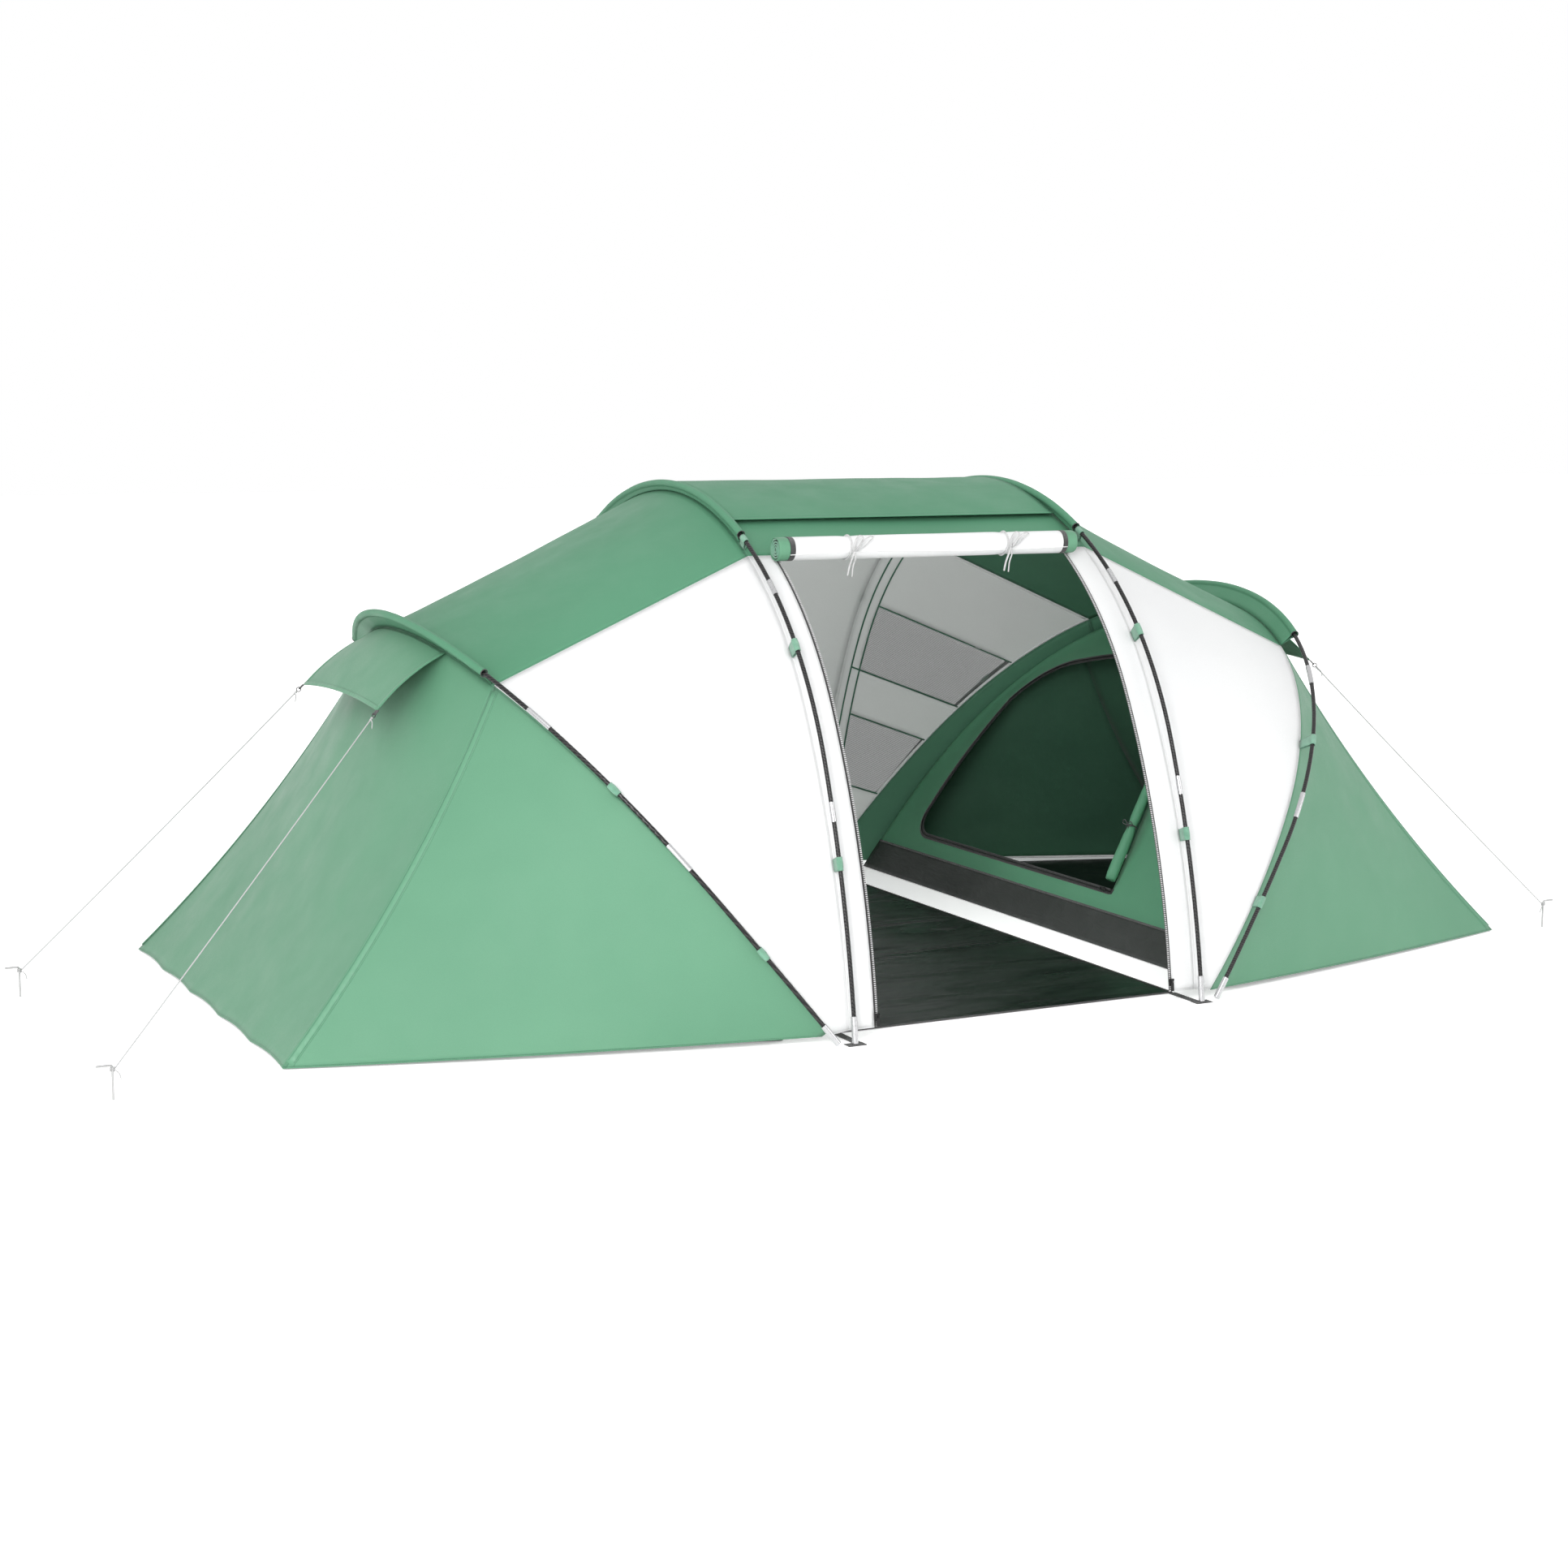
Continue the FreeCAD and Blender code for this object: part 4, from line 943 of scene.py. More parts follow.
def build_cone(side, name):
    """End cone: two gussets, an end panel with its vent, and double-stitched seams between them."""
    looks = [GREEN, GREEN_BACK]
    for back, label in ((False, "front"), (True, "back")):
        surface = gusset(side, back, end_hoop(side), HEM_FOOT, CORNER, CONE_SEAM_S, SEAM_SAG, HEM_BOW)
        cloth("gusset_cloth_%s_%s" % (label, name), surface, 48, 60, looks, "gusset_%s_%s" % (label, name),
              wavy(20.0 + side, 0.36, (1.0, 1.0, 0.6), 0.006))
        seam_and_stitches("cone_seam_%s_%s" % (label, name), surface)
    surface = fly_end(side)
    low, high = VENT_BAND
    rows = [0.0, 0.025] + [low + (high - low) * t for t in span(5)]
    rows += [high + (1 - high) * t for t in span(36)[1:]]

    def point_at(u, v):
        return surface(between(rows, u), v)

    def in_vent(u, v):
        down = between(rows, u)
        width = (surface(down, 1) - surface(down, 0)).length
        return low < down < high and VENT_CLEAR < v * width < width - VENT_CLEAR

    cloth("end_cloth_" + name, point_at, len(rows) - 1, 72, looks, "end_panel_" + name,
          wavy(24.0 + side, 0.34, (1.0, 1.0, 0.5), 0.006), hole=in_vent)
    patch = vent_patch(side)
    cloth("vent_" + name, patch, 6, 24, [MESH], None, thickness=NET, folds=lambda u, v, rim, point: -0.003)
    ring = [(u, 0.0) for u in span(6)] + [(1.0, v) for v in span(20)]
    ring += [(1 - u, 1.0) for u in span(6)] + [(0.0, 1 - v) for v in span(20)]
    tape("vent_binding_" + name, [with_normals(patch, ring, -0.0004)], 0.016, 0.0014, WEB_GREEN)


THREAD_SIZE = (0.0017, 0.0006, 0.0004)


def seam_and_stitches(name, surface):
    """Flat-felled seam down the cone's edge with two rows of thread."""
    places = [(0.012 + 0.976 * t, 0.994) for t in span(60)]
    tape(name, [with_normals(surface, places, 0.0001)], 0.026, 0.0009, GREEN)
    threads = []
    for shift in (-0.0085, 0.0085):
        for i in range(1, 250):
            t = 0.014 + 0.970 * i / 250
            (here, normal), (ahead, _) = with_normals(surface, [(t, 0.994), (t + 0.004, 0.994)], 0.0014)
            along = (ahead - here).normalized()
            across = along.cross(normal).normalized()
            threads.append(box_part(here + across * shift, (along, across, normal), THREAD_SIZE))
    new_piece(name + "_thread", *merged(threads), [PIPING], smooth=False)


def build_visor(side, name):
    surface = visor_surface(side)
    cloth("visor_cloth_" + name, surface, 28, 40, [GREEN, GREEN_BACK], "visor_" + name,
          wavy(28.0 + side, 0.16, (1.0, 1.0, 1.0), 0.003))
    rim = [(1.0 - 0.004, v) for v in span(30)]
    edges = [with_normals(surface, rim, 0.0002)]
    for v in (0.012, 0.988):
        edges.append(with_normals(surface, [(u, v) for u in span(14)], 0.0002))
    tape("visor_hem_" + name, edges, 0.014, 0.0012, GREEN)


# ---- frame ------------------------------------------------------------------------------------
def nearest_s(arch_hoop, point, s):
    """Length along an arch beside a point; s is a first guess."""
    def distance(q):
        return (arch_hoop.point(q) - point).length
    best = min((s - 0.14 + 0.004 * k for k in range(50)), key=distance)
    return min((best - 0.004 + 0.0004 * k for k in range(21)), key=distance)


def towards(seam, point, tangent):
    """Direction and distance from the pole to the seam below, and the direction across both."""
    down = seam - point
    depth = down.length
    down.normalize()
    return down, depth, tangent.cross(down).normalized()


def sleeve_section(s, pole, cloth_hoop, stops):
    """Ring of cloth from the roof seam up round the pole and back: a loose drop shape on a flat web."""
    point, tangent, _, _ = pole.frame(s)
    first, last, cloth_first = stops
    cloth_last = cloth_hoop.arch.length - cloth_first
    seam = cloth_hoop.point(cloth_first + (cloth_last - cloth_first) * (s - first) / (last - first))
    down, depth, across = towards(seam, point, tangent)
    slack = 1.0 + 0.10 * noise.noise(point * 11.0) + 0.05 * noise.noise(point * 31.0)
    web = [(0.0014, depth - 0.001), (0.0018, depth * 0.62 + 0.006), (0.0062 * slack, 0.0135)]
    half = [(x, d) for x, d in web if d > 0.012]
    for k in range(11):
        angle = math.radians(62 - 152 * k / 10)
        half.append((math.cos(angle) * 0.0118 * slack, math.sin(angle) * 0.0118 - 0.0015))
    mirrored = [(-x, d) for x, d in reversed(half[:-1])]
    return [point + across * x + down * d for x, d in half + mirrored]


def build_sleeve(name, pole, cloth_hoop, start):
    """Loose tunnel round the pole, gathered to a flat web that is sewn into the roof seam."""
    length = pole.arch.length
    cloth_first = nearest_s(cloth_hoop, pole.point(start), start - 0.03)
    stops = (start, length - start, cloth_first)
    rings = [sleeve_section(start + (length - 2 * start) * t, pole, cloth_hoop, stops) for t in span(110)]
    verts = [v for ring in rings for v in ring]
    faces = strip_faces(len(rings), len(rings[0]))
    piece = new_piece("sleeve_cloth_" + name, verts, faces, [GREEN_ROOF_SHADED, GREEN_BACK])
    add_edge_maps(piece)
    add_solidify(piece, 0.0009, inner_slot=1)
    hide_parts("sleeve_" + name)
    mouths = []
    for s in (start, length - start):
        ring = [p for p in sleeve_section(s, pole, cloth_hoop, stops) if (p - pole.point(s)).length < 0.022]
        mouths.append(sweep(smooth_path(ring, 3), 0.0016, 6))
    new_piece("sleeve_edging_" + name, *merged(mouths), [WEB_BLACK])


def add_edge_maps(piece):
    """Cloth and edge maps for pieces that aren't grids, so the cloth materials find them."""
    points = [vertex.co for vertex in piece.data.vertices]
    add_map(piece, "cloth", [(point.x + point.z, point.y) for point in points])
    add_map(piece, "edge", [(1.0, 1.0)] * len(points))


def clip_parts(pole, cloth_hoop, s, length):
    """Webbing loop: up from the cloth, round the pole and back down."""
    point, tangent, _, _ = pole.frame(s)
    seam = cloth_hoop.point(nearest_s(cloth_hoop, point, s - 0.01))
    down, depth, across = towards(seam, point, tangent)
    radius = POLE_R + 0.0026
    section = [(-0.0016, depth), (-0.0040, depth * 0.6 + 0.004)]
    for k in range(15):
        angle = math.radians(-140 + 280 * k / 14)
        section.append((math.sin(angle) * radius, -math.cos(angle) * radius))
    section += [(0.0040, depth * 0.6 + 0.004), (0.0016, depth)]
    verts = []
    for share in span(8):
        t = share - 0.5
        belly = 1.0 + 0.08 * math.cos(math.pi * t * 2) + 0.1 * t
        for sideways, downwards in section:
            narrow = 1.0 - 0.10 * max(0.0, downwards / depth)
            verts.append(point + tangent * (t * length * narrow) + across * sideways * belly
                         + down * downwards)
    return verts, strip_faces(9, len(section))


def build_frame():
    clips = []
    for side, name in SIDES:
        for label, pole, cloth_hoop, start, places in (
                ("centre_", centre_hoop(side, "pole"), centre_hoop(side), CENTRE_SLEEVE, CENTRE_CLIPS),
                ("end_", end_hoop(side, "pole"), end_hoop(side), END_SLEEVE, END_CLIPS)):
            build_sleeve(label + name, pole, cloth_hoop, start)
            length = pole.arch.length
            for s in list(places) + [length - s for s in places]:
                clips.append(clip_parts(pole, cloth_hoop, s, CLIP_LENGTH))
            if label == "centre_":
                for s in (MOUTH_CLIP_S, length - MOUTH_CLIP_S):
                    clips.append(clip_parts(pole, cloth_hoop, s, MOUTH_CLIP_LENGTH))
    piece = new_piece("pole_clip_webbing", *merged(clips), [WEB_GREEN])
    add_solidify(piece, 0.0016, offset=0.0)
    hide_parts("pole_clips")


# ---- door -------------------------------------------------------------------------------------
ZIP_TEETH = 245
TOOTH_SIZE = (0.0014, 0.0030, 0.0010)


def door_edge(s):
    """y, height, direction and outward normal at a length along the doorway's edge."""
    y, w, heading = CENTRE_CLOTH.at(s)
    along = Vector((0, math.sin(heading), math.cos(heading)))
    return y, w, along, Vector((0, -math.cos(heading), math.sin(heading)))


def build_zips():
    tapes, teeth = [], []
    for side, _ in SIDES:
        line = []
        for t in span(90):
            y, w, along, normal = door_edge(HEM_S + (ZIP_TOP_S - HEM_S) * t)
            line.append((Vector((side * ZIP_X, y, w)), normal))
        tapes.append(line)
        for i in range(ZIP_TEETH):
            y, w, along, normal = door_edge(HEM_S + 0.004 + (ZIP_TOP_S - HEM_S - 0.008) * i / ZIP_TEETH)
            spot = Vector((side * (ZIP_X - 0.0022), y, w)) + normal * 0.0014
            teeth.append(box_part(spot, (along, Vector((1, 0, 0)), normal), TOOTH_SIZE))
    tape("door_zip_tape", tapes, ZIP_HALF * 2 + 0.001, 0.0008, ZIP_TAPE, "door_zips")
    new_piece("door_zip_teeth", *merged(teeth), [ZIP_PALE], smooth=False)


ROLL_BODY = "door_roll"
ROLL_Y = -0.638
ROLL_Z = 1.364
ROLL_R = 0.0355
ROLL_HALF = 0.530
ROLL_CUFF = 0.040
ROLL_TURNS = 3.3
ROLL_TIES = (-0.285, 0.268)
BOW = 1.25
CUFF_SHAPE = ((0.0, 0.985), (0.006, 1.01), (ROLL_CUFF * 0.7, 1.0), (ROLL_CUFF - 0.005, 0.975),
              (ROLL_CUFF - 0.003, 0.94), (ROLL_CUFF - 0.005, 0.90), (ROLL_CUFF - 0.014, 0.88))


def roll_point(x, angle, radius):
    return Vector((x, ROLL_Y + math.cos(angle) * radius, ROLL_Z + math.sin(angle) * radius))


def roll_ring(x, radius):
    """Slightly uneven ring of the rolled door at x."""
    ring = []
    for a in turns(40):
        uneven = 1 + 0.022 * noise.noise(Vector((x * 5.0, math.cos(a) * 1.3, math.sin(a) * 1.3)))
        ring.append(roll_point(x, a, radius * uneven))
    return ring


def lofted(rings, capped=True):
    count = len(rings[0])
    verts = [v for ring in rings for v in ring]
    faces = ring_faces(len(rings), count)
    if capped:
        faces += [tuple(reversed(range(count))), tuple(range(len(verts) - count, len(verts)))]
    return verts, faces


def build_door_roll():
    """Rolled door: white bundle with its free edge, then its ends and its two ties."""
    inner = ROLL_HALF - ROLL_CUFF
    rings = []
    for t in span(70):
        x = -inner + 2 * inner * t
        pinch = sum(0.07 * math.exp(-((x - tie) / 0.020) ** 2) for tie in ROLL_TIES)
        rings.append(roll_ring(x, ROLL_R * (1 - pinch)))
    roll = new_piece("door_roll_cloth", *lofted(rings), [WHITE], body=ROLL_BODY)
    add_edge_maps(roll)
    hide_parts("door_roll")
    fold = []
    for t in span(49):
        x = -inner + 2 * inner * t
        fold.append(roll_point(x, math.radians(205 + 6 * math.sin(x * 7)), ROLL_R * 1.012))
    new_piece("door_roll_edge", *sweep(fold, 0.0016, 6), [WEB_WHITE], body=ROLL_BODY)
    build_roll_ends(inner)
    build_ties()


def build_roll_ends(inner):
    """Black band, green cuff, a black ring of painted shade in the roll's open end, and the coil of rolled
    cloth at each end of the roll.
    """
    bands, cuffs, spirals, shade_plugs = [], [], [], []
    for sign in (-1, 1):
        band = (inner - 0.017, inner - 0.015, inner - 0.002, inner)
        bands.append(lofted([roll_ring(sign * x, ROLL_R * 1.025) for x in band]))
        cuff = [roll_ring(sign * (inner + x), ROLL_R * r) for x, r in CUFF_SHAPE]
        cuffs.append(lofted(cuff, capped=False))
        # Painted shade: a black ring set inside each end of the roll stands for the shade in the roll's
        # hollow.
        shade_plugs.append(lofted([roll_ring(sign * (ROLL_HALF - x), ROLL_R * 0.90) for x in (0.020, 0.0125)]))
        path = []
        for t in span(150):
            r = 0.004 + (ROLL_R * 0.86 - 0.004) * t
            path.append(roll_point(sign * (ROLL_HALF - 0.009), ROLL_TURNS * 2 * math.pi * t, r))
        spirals.append(spiral_strip(path, sign))
    new_piece("door_roll_bands", *merged(bands), [WEB_BLACK], body=ROLL_BODY)
    add_edge_maps(new_piece("door_roll_cuffs", *merged(cuffs), [GREEN], body=ROLL_BODY))
    new_piece("door_roll_painted_shade", *merged(shade_plugs), [WEB_BLACK], body=ROLL_BODY)
    new_piece("door_roll_spirals", *merged(spirals), [WEB_GREEN], body=ROLL_BODY)


def spiral_strip(path, sign):
    """Edge of the rolled cloth: a band standing out of the roll's end along a spiral."""
    verts = []
    out = Vector((sign, 0, 0))
    for i, point in enumerate(path):
        ahead = path[min(i + 1, len(path) - 1)] - path[max(i - 1, 0)]
        across = ahead.cross(Vector((1, 0, 0))).normalized() * 0.0021
        verts += [point - across - out * 0.005, point - across + out * 0.0035, point + out * 0.0052,
                  point + across + out * 0.0035, point + across - out * 0.005]
    faces = ring_faces(len(path), 5)
    faces += [tuple(range(5)), tuple(len(verts) - 1 - k for k in range(5))]
    return verts, faces


def tie_shapes(reach):
    """Two bows and two tails, as offsets from the knot."""
    return (
        [(0, 0, 0), (0.020, -0.004, 0.010), (0.044 * reach, -0.006, 0.030), (0.050, -0.004, 0.036),
         (0.040, -0.006, 0.038), (0.020, -0.007, 0.026), (0.004, -0.003, 0.004)],
        [(0, 0, 0), (0.014, -0.004, 0.020), (0.024, -0.002, 0.036), (0.012, -0.003, 0.040),
         (0.000, -0.005, 0.024), (0.000, -0.002, 0.004)],
        [(0, 0, 0), (-0.008, -0.004, -0.016), (-0.014, -0.002, -0.034), (-0.018, 0.000, -0.056)],
        [(0, 0, 0), (0.002, -0.004, -0.014), (-0.004, -0.003, -0.034), (-0.005, 0.000, -0.059)])


def build_ties():
    """White tie round the roll with a bow and two tails in front."""
    parts = []
    for x, reach in zip(ROLL_TIES, (1, 0.9)):
        loop = [roll_point(x + 0.004 * math.sin(a), a, ROLL_R * 0.95 + 0.0022) for a in turns(40)]
        parts.append(sweep(loop, 0.0022, 8, closed=True, squash=(1.6, 0.8)))
        knot = roll_point(x + 0.008, math.radians(200), ROLL_R + 0.004)
        for shape in tie_shapes(reach):
            line = smooth_path([knot + Vector(offset) * BOW for offset in shape], 7)
            parts.append(sweep(line, 0.0023, 7, squash=(1.5, 0.7)))
        ball = [knot + Vector((0, -0.001, 0.0045 * t)) for t in (-1, -0.5, 0, 0.5, 1)]
        parts.append(sweep(ball, [0.002, 0.0042, 0.005, 0.0042, 0.002], 10))
    new_piece("door_roll_ties", *merged(parts), [TIE_WHITE], body=ROLL_BODY)


# ---- bedrooms ---------------------------------------------------------------------------------
DOORWAY_MIDDLE = (0.27, 0.60)      # y, height in the wall


def door_loop(grow, count):
    """Closed list of (y, w) round the bedroom doorway, starting at its hinge foot."""
    g = grow
    hinge_foot, hinge_top = (-0.381 - g, 0.199 - g), (-0.193 - g, 1.099 + g)
    sill_end, back_foot = (0.864, 0.199 - g), (0.951 + g, 0.297)
    back_top, lintel = (0.828 + g * 0.9, 0.806 + g * 0.4), (0.517, 1.010 + g)
    corners = [(hinge_foot, sill_end),
               (sill_end, (0.931 + g * 0.7, 0.228 - g * 0.7), back_foot),
               (back_foot, (0.915 + g, 0.545), back_top),
               (back_top, (0.699 + g * 0.6, 0.933 + g * 0.8), lintel),
               (lintel, (0.164, 1.077 + g), hinge_top),
               (hinge_top, hinge_foot)]
    dense = []
    for piece in corners:
        for t in span(24)[:-1]:
            if len(piece) == 2:
                (ay, aw), (by, bw) = piece
                dense.append((ay + (by - ay) * t, aw + (bw - aw) * t))
            else:
                dense.append(three_point_arc(*piece, t))
    dense.append(dense[0])
    return resample(dense, count)


def three_point_arc(a, b, c, t):
    """Point a share t of the way along the circular arc a-b-c."""
    ax, ay, bx, by, cx, cy = *a, *b, *c
    aa, bb, cc = ax * ax + ay * ay, bx * bx + by * by, cx * cx + cy * cy
    d = 2 * (ax * (by - cy) + bx * (cy - ay) + cx * (ay - by))
    ux = (aa * (by - cy) + bb * (cy - ay) + cc * (ay - by)) / d
    uy = (aa * (cx - bx) + bb * (ax - cx) + cc * (bx - ax)) / d
    start, end = math.atan2(ay - uy, ax - ux), math.atan2(cy - uy, cx - ux)
    turn = (end - start + math.pi) % (2 * math.pi) - math.pi
    radius = math.hypot(ax - ux, ay - uy)
    return ux + radius * math.cos(start + turn * t), uy + radius * math.sin(start + turn * t)


def resample(points, count):
    lengths = [0.0]
    for (ay, aw), (by, bw) in zip(points, points[1:]):
        lengths.append(lengths[-1] + math.hypot(by - ay, bw - aw))
    out, k = [], 0
    for i in range(count):
        want = lengths[-1] * i / count
        while lengths[k + 1] < want:
            k += 1
        t = (want - lengths[k]) / (lengths[k + 1] - lengths[k])
        out.append(tuple(a + (b - a) * t for a, b in zip(points[k], points[k + 1])))
    return out


def wall_border(point, low):
    """Where the ray from the doorway's middle through a point meets the wall's outline."""
    y0, w0 = DOORWAY_MIDDLE
    dy, dw = point[0] - y0, point[1] - w0
    near, far = 0.0, 4.0
    for _ in range(40):
        t = (near + far) / 2
        y, w = y0 + dy * t, w0 + dw * t
        inside = w > low and abs(y) < half_width(w)
        near, far = (t, far) if inside else (near, t)
    return y0 + dy * near, w0 + dw * near


def half_width(w):
    """Half width of the bedroom wall's arch at height w in its plane."""
    if w >= ROOM_RISE:
        return 0.0
    low, high = 0.0, ROOM_CLOTH.length / 2
    for _ in range(40):
        s = (low + high) / 2
        low, high = (s, high) if ROOM_CLOTH.at(s)[1] < w else (low, s)
    return -ROOM_CLOTH.at(low)[0]


def build_bedroom(side, name):
    hoop = room_hoop(side)
    lean = Vector((side * math.cos(ROOM_LEAN), 0, -math.sin(ROOM_LEAN)))     # away from the living area
    build_bedroom_wall(side, name, hoop, lean)
    build_tub(side, name, hoop, lean)
    build_canopy(side, name)
    build_bedroom_zip(side, name, hoop, lean)
    build_bedroom_roll(side, name, hoop, lean)


def build_bedroom_wall(side, name, hoop, lean):
    """Wall in rings that grow from the doorway's outline to its own."""
    inner = door_loop(DOOR_BAND - 0.002, 160)
    outer = [wall_border(point, MUDWALL - 0.004) for point in inner]
    rings = []
    for t in span(12):
        bulge = math.sin(math.pi * t)
        ring = []
        for (iy, iw), (oy, ow) in zip(inner, outer):
            y, w = iy + (oy - iy) * t, iw + (ow - iw) * t
            ripple = noise.noise(Vector((y * 3.2, w * 2.2, 3.0 + side)))
            ring.append(hoop.place(y, w) + lean * bulge * (0.007 * ripple + 0.010 * t))
        rings.append(ring)
    verts, faces = lofted(rings, capped=False)
    if face_normal(verts, faces[0]).dot(lean) > 0:
        faces = [tuple(reversed(face)) for face in faces]
    wall = new_piece("bedroom_wall_cloth_" + name, verts, faces, [WALL_LINER])
    add_edge_maps(wall)
    add_solidify(wall, CLOTH)
    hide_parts("bedroom_wall_" + name)


def build_tub(side, name, hoop, lean):
    """Black floor sheet with the low wall along its front."""
    def floor_at(u, v):
        x = ROOM_X + (ROOM_END.x - ROOM_X) * u
        half = ROOM_HALF - 0.002 + (abs(ROOM_END.y) - ROOM_HALF) * u
        y = half * (2 * v - 1)
        inside = min(u, 1 - u, v, 1 - v)
        ripple = 0.5 + 0.5 * noise.noise(Vector((x * 4.0, y * 3.0, 7.0)))
        return Vector((side * x, y, 0.0016 + 0.007 * ripple * fade(inside, 0.06)))

    def mud_at(u, v):
        w = MUDWALL * u + 0.002
        y = half_width(w) * (2 * v - 1)
        ripple = noise.noise(Vector((y * 5.0, w * 6.0, 11.0 + side)))
        return hoop.place(y, w) - lean * (0.0015 + 0.004 * ripple * math.sin(math.pi * u))

    cloth("bedroom_floor_" + name, floor_at, 36, 60, [FLOOR_BLACK], "bedroom_tub_" + name)
    cloth("bedroom_mudwall_" + name, mud_at, 8, 90, [MUD_BLACK], None)
    rim = [(mud_at(1.0, v) - lean * 0.0006, -lean) for v in span(80)]
    tape("mudwall_binding_" + name, [rim], 0.008, 0.0014, WEB_BLACK)


def build_canopy(side, name):
    """Inner tent behind the bedroom's wall, with piping along its floor."""
    shell = room_hoop(side, 0.014)
    foot = Vector((ROOM_X + 0.050, -ROOM_HALF + 0.012, 0.024))
    surfaces = [gusset(side, back, shell, foot, ROOM_END, CANOPY_SEAM_S, CANOPY_SAG, 0.006)
                for back in (False, True)]
    surfaces.append(end_surface(side, shell, ROOM_END, CANOPY_SEAM_S, CANOPY_SAG, CANOPY_END_SAG))
    panels = (("side_front", 30, 40.0), ("side_back", 30, 40.0), ("end", 36, 44.0))
    for surface, (label, columns, seed) in zip(surfaces, panels):
        cloth("bedroom_%s_%s" % (label, name), surface, 24, columns, [LINER], None,
                              wavy(seed + side, 0.3, (1, 1, 1), 0.010))
    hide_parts("bedroom_canopy_" + name)
    edge = [(1.0, v) for v in span(40)]
    lines = [with_normals(surface, edge, CLOTH, True) for surface in surfaces]
    tape("bedroom_floor_piping_" + name, lines, 0.009, 0.002, WEB_WHITE)


def build_bedroom_zip(side, name, hoop, lean):
    """Black zip band round the doorway, open along the hinge, with its coil."""
    loop = door_loop(DOOR_BAND / 2, 400)
    path = [(y, w) for y, w in loop if not on_hinge(y, w)]
    start = next(i for i in range(len(loop)) if on_hinge(*loop[i - 1]) and not on_hinge(*loop[i]))
    ordered = [p for p in loop[start:] + loop[:start] if p in set(path)]
    points = [hoop.place(y, w) for y, w in ordered]
    band = [(point - lean * 0.0002, -lean) for point in points]
    tape("bedroom_zip_tape_" + name, [band], DOOR_BAND + 0.008, 0.0016, ZIP_TAPE)
    coil = [point - lean * 0.0030 for point in points]
    piece = new_piece("bedroom_zip_coil_" + name, *sweep(coil, 0.0030, 8), [ZIP_METAL])
    if side < 0:
        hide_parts("bedroom_zips")


def on_hinge(y, w):
    """Whether a point of the doorway's outline is on its straight hinged side."""
    return 0.210 < w < 1.085 and y < -0.366 + (w - 0.199) * 0.209


ROOM_ROLL_TIES = (0.24, 0.72)
ROOM_BOWS = ([(0, 0), (0.018, 0.012), (0.030, 0.002), (0.016, -0.004), (0, 0)],
             [(0, 0), (-0.018, 0.010), (-0.028, 0.000), (-0.014, -0.005), (0, 0)],
             [(0, 0), (0.008, -0.016), (0.010, -0.034)],
             [(0, 0), (-0.006, -0.018), (-0.004, -0.036)])


def build_bedroom_roll(side, name, hoop, lean):
    """Bedroom door rolled up along its hinge, held by two black ties with bows."""
    low = hoop.place(-0.386, 0.226) - lean * 0.027
    high = hoop.place(-0.211, 1.060) - lean * 0.027
    axis = (high - low).normalized()
    across = axis.cross(lean).normalized()
    length = (high - low).length
    rings = []
    for t in span(40):
        radius = 0.0175 + 0.0015 * math.sin(t * 9.0 + 1.0)
        radius -= sum(0.004 * math.exp(-((t - tie) * length / 0.02) ** 2) for tie in ROOM_ROLL_TIES)
        if t in (0, 1):
            radius *= 0.9
        ring = []
        for a in turns(28):
            uneven = 1 + 0.09 * noise.noise(Vector((t * 7, math.cos(a), math.sin(a) + side)))
            arm = across * math.cos(a) + lean * math.sin(a)
            ring.append(low + axis * (length * t) + arm * radius * uneven)
        rings.append(ring)
    roll = new_piece("bedroom_roll_cloth_" + name, *lofted(rings), [WALL_LINER])
    add_edge_maps(roll)
    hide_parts("bedroom_roll_" + name)
    parts = []
    for tie in ROOM_ROLL_TIES:
        centre = low + axis * (length * tie)
        loop = [centre + (across * math.cos(a) + lean * math.sin(a)) * 0.0165 for a in turns(24)]
        parts.append(sweep(loop, 0.0022, 6, closed=True))
        for shape in ROOM_BOWS:
            line = smooth_path([centre - lean * 0.021 + Vector((0, a, b)) for a, b in shape], 6)
            parts.append(sweep(line, 0.0017, 6))
    new_piece("bedroom_roll_tie_" + name, *merged(parts), [WEB_BLACK])


# ---- ground and ropes -------------------------------------------------------------------------
def build_groundsheet():
    def point_at(u, v):
        across, along = 2 * u - 1, 2 * v - 1
        x, y = GROUND_X * across, GROUND_Y * along
        inside = min((1 - abs(across)) * GROUND_X, (1 - abs(along)) * GROUND_Y)
        ripple = noise.noise(Vector((x * 1.6, y * 4.5, 2.0)))
        ripple += 0.3 * noise.noise(Vector((x * 3.0, y * 9.0, 5.0)))
        return Vector((x, y, 0.0022 + 0.0075 * max(0.0, ripple + 0.35) * fade(inside, 0.05)))

    cloth("groundsheet_cloth", point_at, 60, 150, [SHEET_BLACK], "groundsheet")
    outline = [(2 * t - 1, -1) for t in span(24)] + [(1, 2 * t - 1) for t in span(40)][1:]
    outline += [(1 - 2 * t, 1) for t in span(24)][1:] + [(-1, 1 - 2 * t) for t in span(40)][1:-1]
    rim = [Vector((GROUND_X * a, GROUND_Y * b, 0.0030)) for a, b in outline]
    new_piece("groundsheet_binding", *sweep(rim, 0.0026, 6, closed=True), [WEB_BLACK])


GUY_NAMES = ("guy_front_left", "guy_back_left", "guy_front_right", "guy_back_right")


PEG_TAIL = ((0.006, 0.004, 0.012), (0.016, 0.010, 0.022), (0.020, 0.008, 0.038))


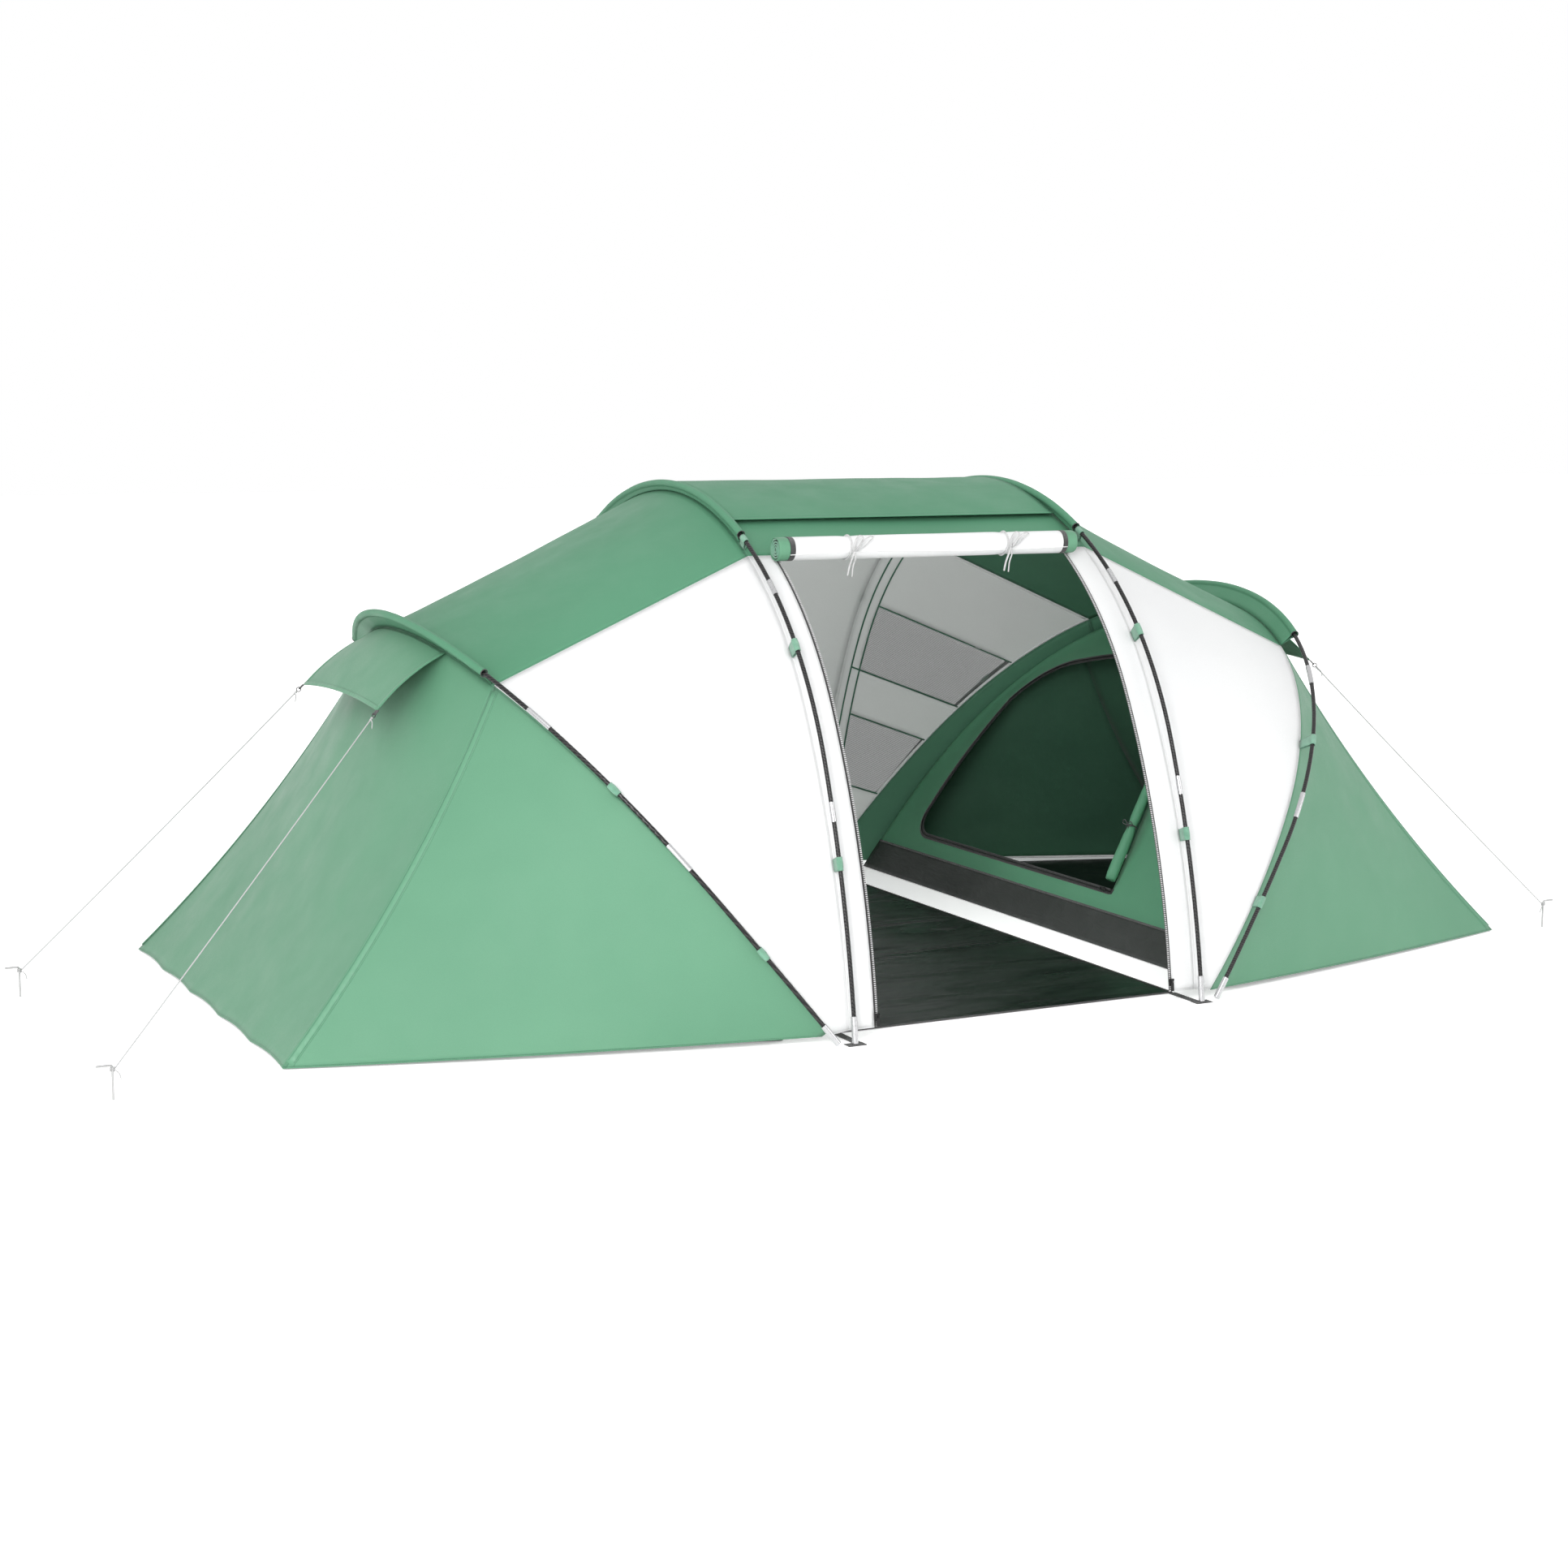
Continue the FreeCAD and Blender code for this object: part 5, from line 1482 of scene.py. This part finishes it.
def knot_parts(points, peg):
    """Turns and tail at the peg, then two knots and a stub at the visor's corner."""
    x, y = peg
    side = 1 if x > 0 else -1
    wraps = []
    for k in range(49):
        a = 2 * math.pi * k / 16
        height = PEG_HEIGHT - 0.0165 + 0.0038 * k / 16
        wraps.append(Vector((x + math.cos(a) * 0.0052, y + math.sin(a) * 0.0052, height)))
    tail = [Vector((x - side * out, y - back, PEG_HEIGHT - down)) for out, back, down in PEG_TAIL]
    parts = [sweep(wraps, ROPE_R, 7), sweep(smooth_path(tail, 6), ROPE_R * 0.85, 6)]
    start = points[0]
    along = (points[1] - start).normalized()
    for t, r in ((0.004, 0.0045), (0.011, 0.0040)):
        ball = [start + along * (t + 0.003 * k) for k in (-1, -0.5, 0, 0.5, 1)]
        parts.append(sweep(ball, [r * 0.4, r * 0.85, r, r * 0.85, r * 0.4], 9))
    stub = [start + along * 0.008, start + along * 0.014 + Vector((0.004, -0.008, -0.006)),
            start + along * 0.018 + Vector((0.004, -0.010, -0.020))]
    parts.append(sweep(smooth_path(stub, 6), ROPE_R * 0.8, 6))
    return parts


def build_ropes():
    for index, name in enumerate(GUY_NAMES):
        points = rope_points(index)
        rope = nurbs_curve("rope_" + name, points, ROPE_R)
        rope.data.materials.append(ROPE)
        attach(rope, ROOT)
        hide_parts(name)
        knots = new_piece("knots_" + name, *merged(knot_parts(points, PEGS[index])), [ROPE])
        tuple(points[0])
        line_length(points)


# ---- carried-over CAD nodes -------------------------------------------------------------------
CAD_LOOKS = {
    "poles_": POLE,
    "pole_ferrules": FERRULE,
    "foot_tips": FERRULE,
    "pegs": PEG,
    "guy_loops": WEB_BLACK,
    "foot_webbing": WEB_BLACK,
    "door_slider": ZIP_METAL,
    "door_pull": ZIP_METAL,
    "bedroom_slider": ZIP_METAL,
    "bedroom_pull": ZIP_METAL,
}


def finish_cad_materials():
    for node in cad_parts:
        for start, look in CAD_LOOKS.items():
            if node.startswith(start):
                piece = bpy.data.objects[node]
                for slot in piece.material_slots:
                    slot.material = look
                if node.startswith("poles_"):
                    piece.data.shade_smooth()


# ---- stage ------------------------------------------------------------------------------------
STUDIO = 40.0


def build_studio_floor():
    mesh = bpy.data.meshes.new("studio_floor")
    corners = [(x * STUDIO, y * STUDIO, -0.001) for x, y in ((-1, -1), (1, -1), (1, 1), (-1, 1))]
    mesh.from_pydata(corners, [], [(0, 1, 2, 3)])
    floor = new_object("studio_floor", mesh)
    shade = Shade("studio_floor", (0.95, 0.95, 0.95), 0.9, Specular_IOR_Level=0.1,
                  Emission_Color=(1.0, 1.0, 1.0, 1), Emission_Strength=0.30)
    mesh.materials.append(shade.material)


def add_light(name, kind, place, aim, power, **settings):
    light = new_object(name, bpy.data.lights.new(name, kind))
    for key, value in settings.items():
        setattr(light.data, key, value)
    light.data.energy = power
    if kind == "AREA":
        light.visible_camera = False
    light.location = place
    light.rotation_euler = (Vector(aim) - Vector(place)).to_track_quat("-Z", "Y").to_euler()


def build_stage():
    build_studio_floor()
    world = bpy.data.worlds.new("studio")
    world.use_nodes = True
    background = world.node_tree.nodes["Background"]
    background.inputs["Color"].default_value = (1.0, 1.0, 1.0, 1)
    background.inputs["Strength"].default_value = 1.0
    bpy.context.scene.world = world
    add_light("sun", "SUN", (0, 0, 0), (0.45, 0.50, -0.74), 0.55, angle=math.radians(35))
    add_light("key", "AREA", (-5.5, -7.0, 3.2), (-0.4, -0.6, 0.5), 300.0, shape="DISK", size=4.0)
    add_light("fill", "AREA", (5.0, -6.0, 3.0), (0.8, 0, 0.5), 80.0, shape="DISK", size=4.0)
    add_light("inside", "AREA", (0.0, -0.35, 1.30), (0.15, 0.45, 0.10), 10.0, shape="DISK", size=0.7)
    add_light("strip", "AREA", (-4.0, -4.7, 2.7), (-1.4, -1.1, 0.4), 70.0, shape="RECTANGLE", size=0.55,
              size_y=3.2)
    bpy.context.scene.view_settings.view_transform = "Standard"
    bpy.context.scene.view_settings.look = "None"


make_camera()
build_ropes()
build_fly()
build_frame()
build_zips()
build_door_roll()
for bedroom_side, bedroom_name in SIDES:
    build_bedroom(bedroom_side, bedroom_name)
build_groundsheet()
finish_cad_materials()
build_stage()
